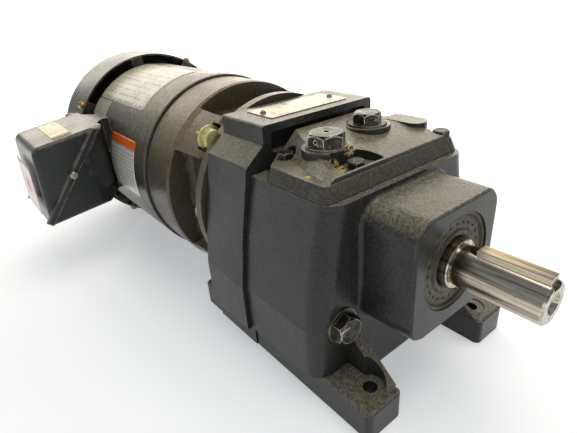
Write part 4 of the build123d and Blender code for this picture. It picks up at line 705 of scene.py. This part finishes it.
def add_box_labels():
    """Labels on the sloping top and on the leaning outer side of the conduit box."""
    lip = 3.2 * MM
    top_slope = 8.0 / 58.0
    side_lean = 3.0 / 72.0
    lift = 0.1 * MM

    ridge_y = box_high.y - 1.5 * MM
    from_ridge = 20.5 * MM
    top_width = 17 * MM
    top_length = 0.72 * (box_high.x - box_low.x)
    down_slope = Vector((0.0, -1.0, -top_slope)).normalized()
    top_start = Vector((
        box_low.x + lip + 11 * MM, ridge_y - from_ridge, box_high.z - from_ridge * top_slope + lift))
    top_film = printed_film(
        "box_top_film", rgb(226, 212, 158), rgb(128, 112, 72), 4, fill=0.42, ruled=0.0)
    flat_label(
        "box_top_label", top_start, down_slope * top_width, Vector((top_length, 0.0, 0.0)), top_film)

    side_length = 56 * MM
    side_width = 46 * MM
    below_top = 25 * MM
    lean_start = 8 * MM
    side_film = printed_film(
        "box_side_film", rgb(222, 196, 182), rgb(176, 140, 128), 8, fill=0.45, ruled=0.0,
        spot=rgb(196, 64, 56))
    side_start = Vector((
        box_high.x - lip - 12 * MM, box_low.y + 3 * MM - (below_top - lean_start) * side_lean,
        box_high.z - below_top))
    down_side = Vector((0.0, -side_lean, -1.0)).normalized()
    flat_label(
        "box_side_label", side_start, Vector((-side_length, 0.0, 0.0)), down_side * side_width, side_film)


# ---------------------------------------------------------------- stage, lights and camera
def add_floor():
    """Pale studio paper that glows brighter away from the object, up to a white distance."""
    half_size = 30.0
    below_feet = 0.2 * MM
    mesh = bpy.data.meshes.new("studio_floor")
    build = bmesh.new()
    bmesh.ops.create_grid(build, x_segments=8, y_segments=8, size=half_size)
    build.to_mesh(mesh)
    build.free()
    floor = bpy.data.objects.new("studio_floor", mesh)
    floor.location.z = -below_feet
    bpy.context.scene.collection.objects.link(floor)
    look = Look("studio_paper", specular=0.2)
    look.bump(look.noise(200.0, 2.0), 0.1 * MM, 0.1)
    pale = look.blend(look.fade(look.noise(0.7, 2.0), 0.3, 0.7), rgb(250, 250, 250), rgb(246, 246, 247))
    glow = look.fade(look.distance((0.0, 0.0, 0.0)), 0.3, 1.3, 0.40, 0.90)
    look.shader.inputs["Emission Color"].default_value = (0.96, 0.98, 1.0, 1.0)
    look.feed(look.shader.inputs["Emission Strength"], glow)
    floor.data.materials.append(look.finish(pale, 0.75))


def add_area_light(name, place, target, size, power, colour):
    """Rectangular soft light at a place, aimed at a target."""
    lamp = bpy.data.lights.new(name, "AREA")
    lamp.shape = "RECTANGLE"
    lamp.size = size[0]
    lamp.size_y = size[1]
    lamp.energy = power
    lamp.color = colour
    holder = bpy.data.objects.new(name, lamp)
    holder.location = place
    direction = Vector(target) - Vector(place)
    holder.rotation_euler = direction.to_track_quat("-Z", "Y").to_euler()
    bpy.context.scene.collection.objects.link(holder)


def add_world():
    """Cool dim air that lights the object, seen by the camera as plain white."""
    world = bpy.data.worlds.new("studio_air")
    world.use_nodes = True
    nodes = world.node_tree.nodes
    background = nodes["Background"]
    background.inputs["Color"].default_value = (0.88, 0.94, 1.0, 1.0)
    background.inputs["Strength"].default_value = 0.34
    backdrop = nodes.new("ShaderNodeBackground")
    backdrop.inputs["Color"].default_value = (1.0, 1.0, 1.0, 1.0)
    seen = nodes.new("ShaderNodeLightPath")
    choice = nodes.new("ShaderNodeMixShader")
    link = world.node_tree.links.new
    link(seen.outputs["Is Camera Ray"], choice.inputs[0])
    link(background.outputs[0], choice.inputs[1])
    link(backdrop.outputs[0], choice.inputs[2])
    link(choice.outputs[0], nodes["World Output"].inputs["Surface"])
    bpy.context.scene.world = world


def add_lights():
    """Large warm panel from behind the motor and a softer one overhead."""
    target = (-0.08, 0.0, 0.1)
    add_area_light("rear_panel", (-1.65, 0.95, 0.85), target, (3.2, 1.5), 34.0, (1.0, 0.93, 0.80))
    add_area_light("ceiling_panel", (0.2, 0.3, 1.5), target, (1.2, 1.0), 8.0, (1.0, 0.95, 0.86))


def add_camera():
    """Camera at the angle the real object was seen from, a wide phone lens close to it."""
    azimuth = radians(52.9)
    elevation = radians(26.86)
    roll = radians(-4.37)
    reach = 282.88 * MM
    sensor_width_mm = 36.0
    lens_length_mm = 27.5
    nearest_seen = 10.0 * MM
    target = Vector((2.5 * MM, -50.14 * MM, shaft_z + 16.68 * MM))
    outward = Vector((sin(azimuth) * cos(elevation), -cos(azimuth) * cos(elevation), sin(elevation)))
    lens = bpy.data.cameras.new("studio_camera")
    lens.sensor_width = sensor_width_mm
    lens.lens = lens_length_mm
    lens.clip_start = nearest_seen
    camera = bpy.data.objects.new("studio_camera", lens)
    camera.location = target + outward * reach
    turn = (-outward).to_track_quat("-Z", "Y").to_matrix()
    camera.rotation_euler = (turn @ Matrix.Rotation(roll, 3, "Z")).to_euler()
    bpy.context.scene.collection.objects.link(camera)
    bpy.context.scene.camera = camera


dress_castings()
dress_motor()
dress_fasteners()
dress_running_parts()
add_motor_labels()
add_box_labels()
add_floor()
add_world()
add_lights()
add_camera()
bpy.context.scene.view_settings.view_transform = "Standard"
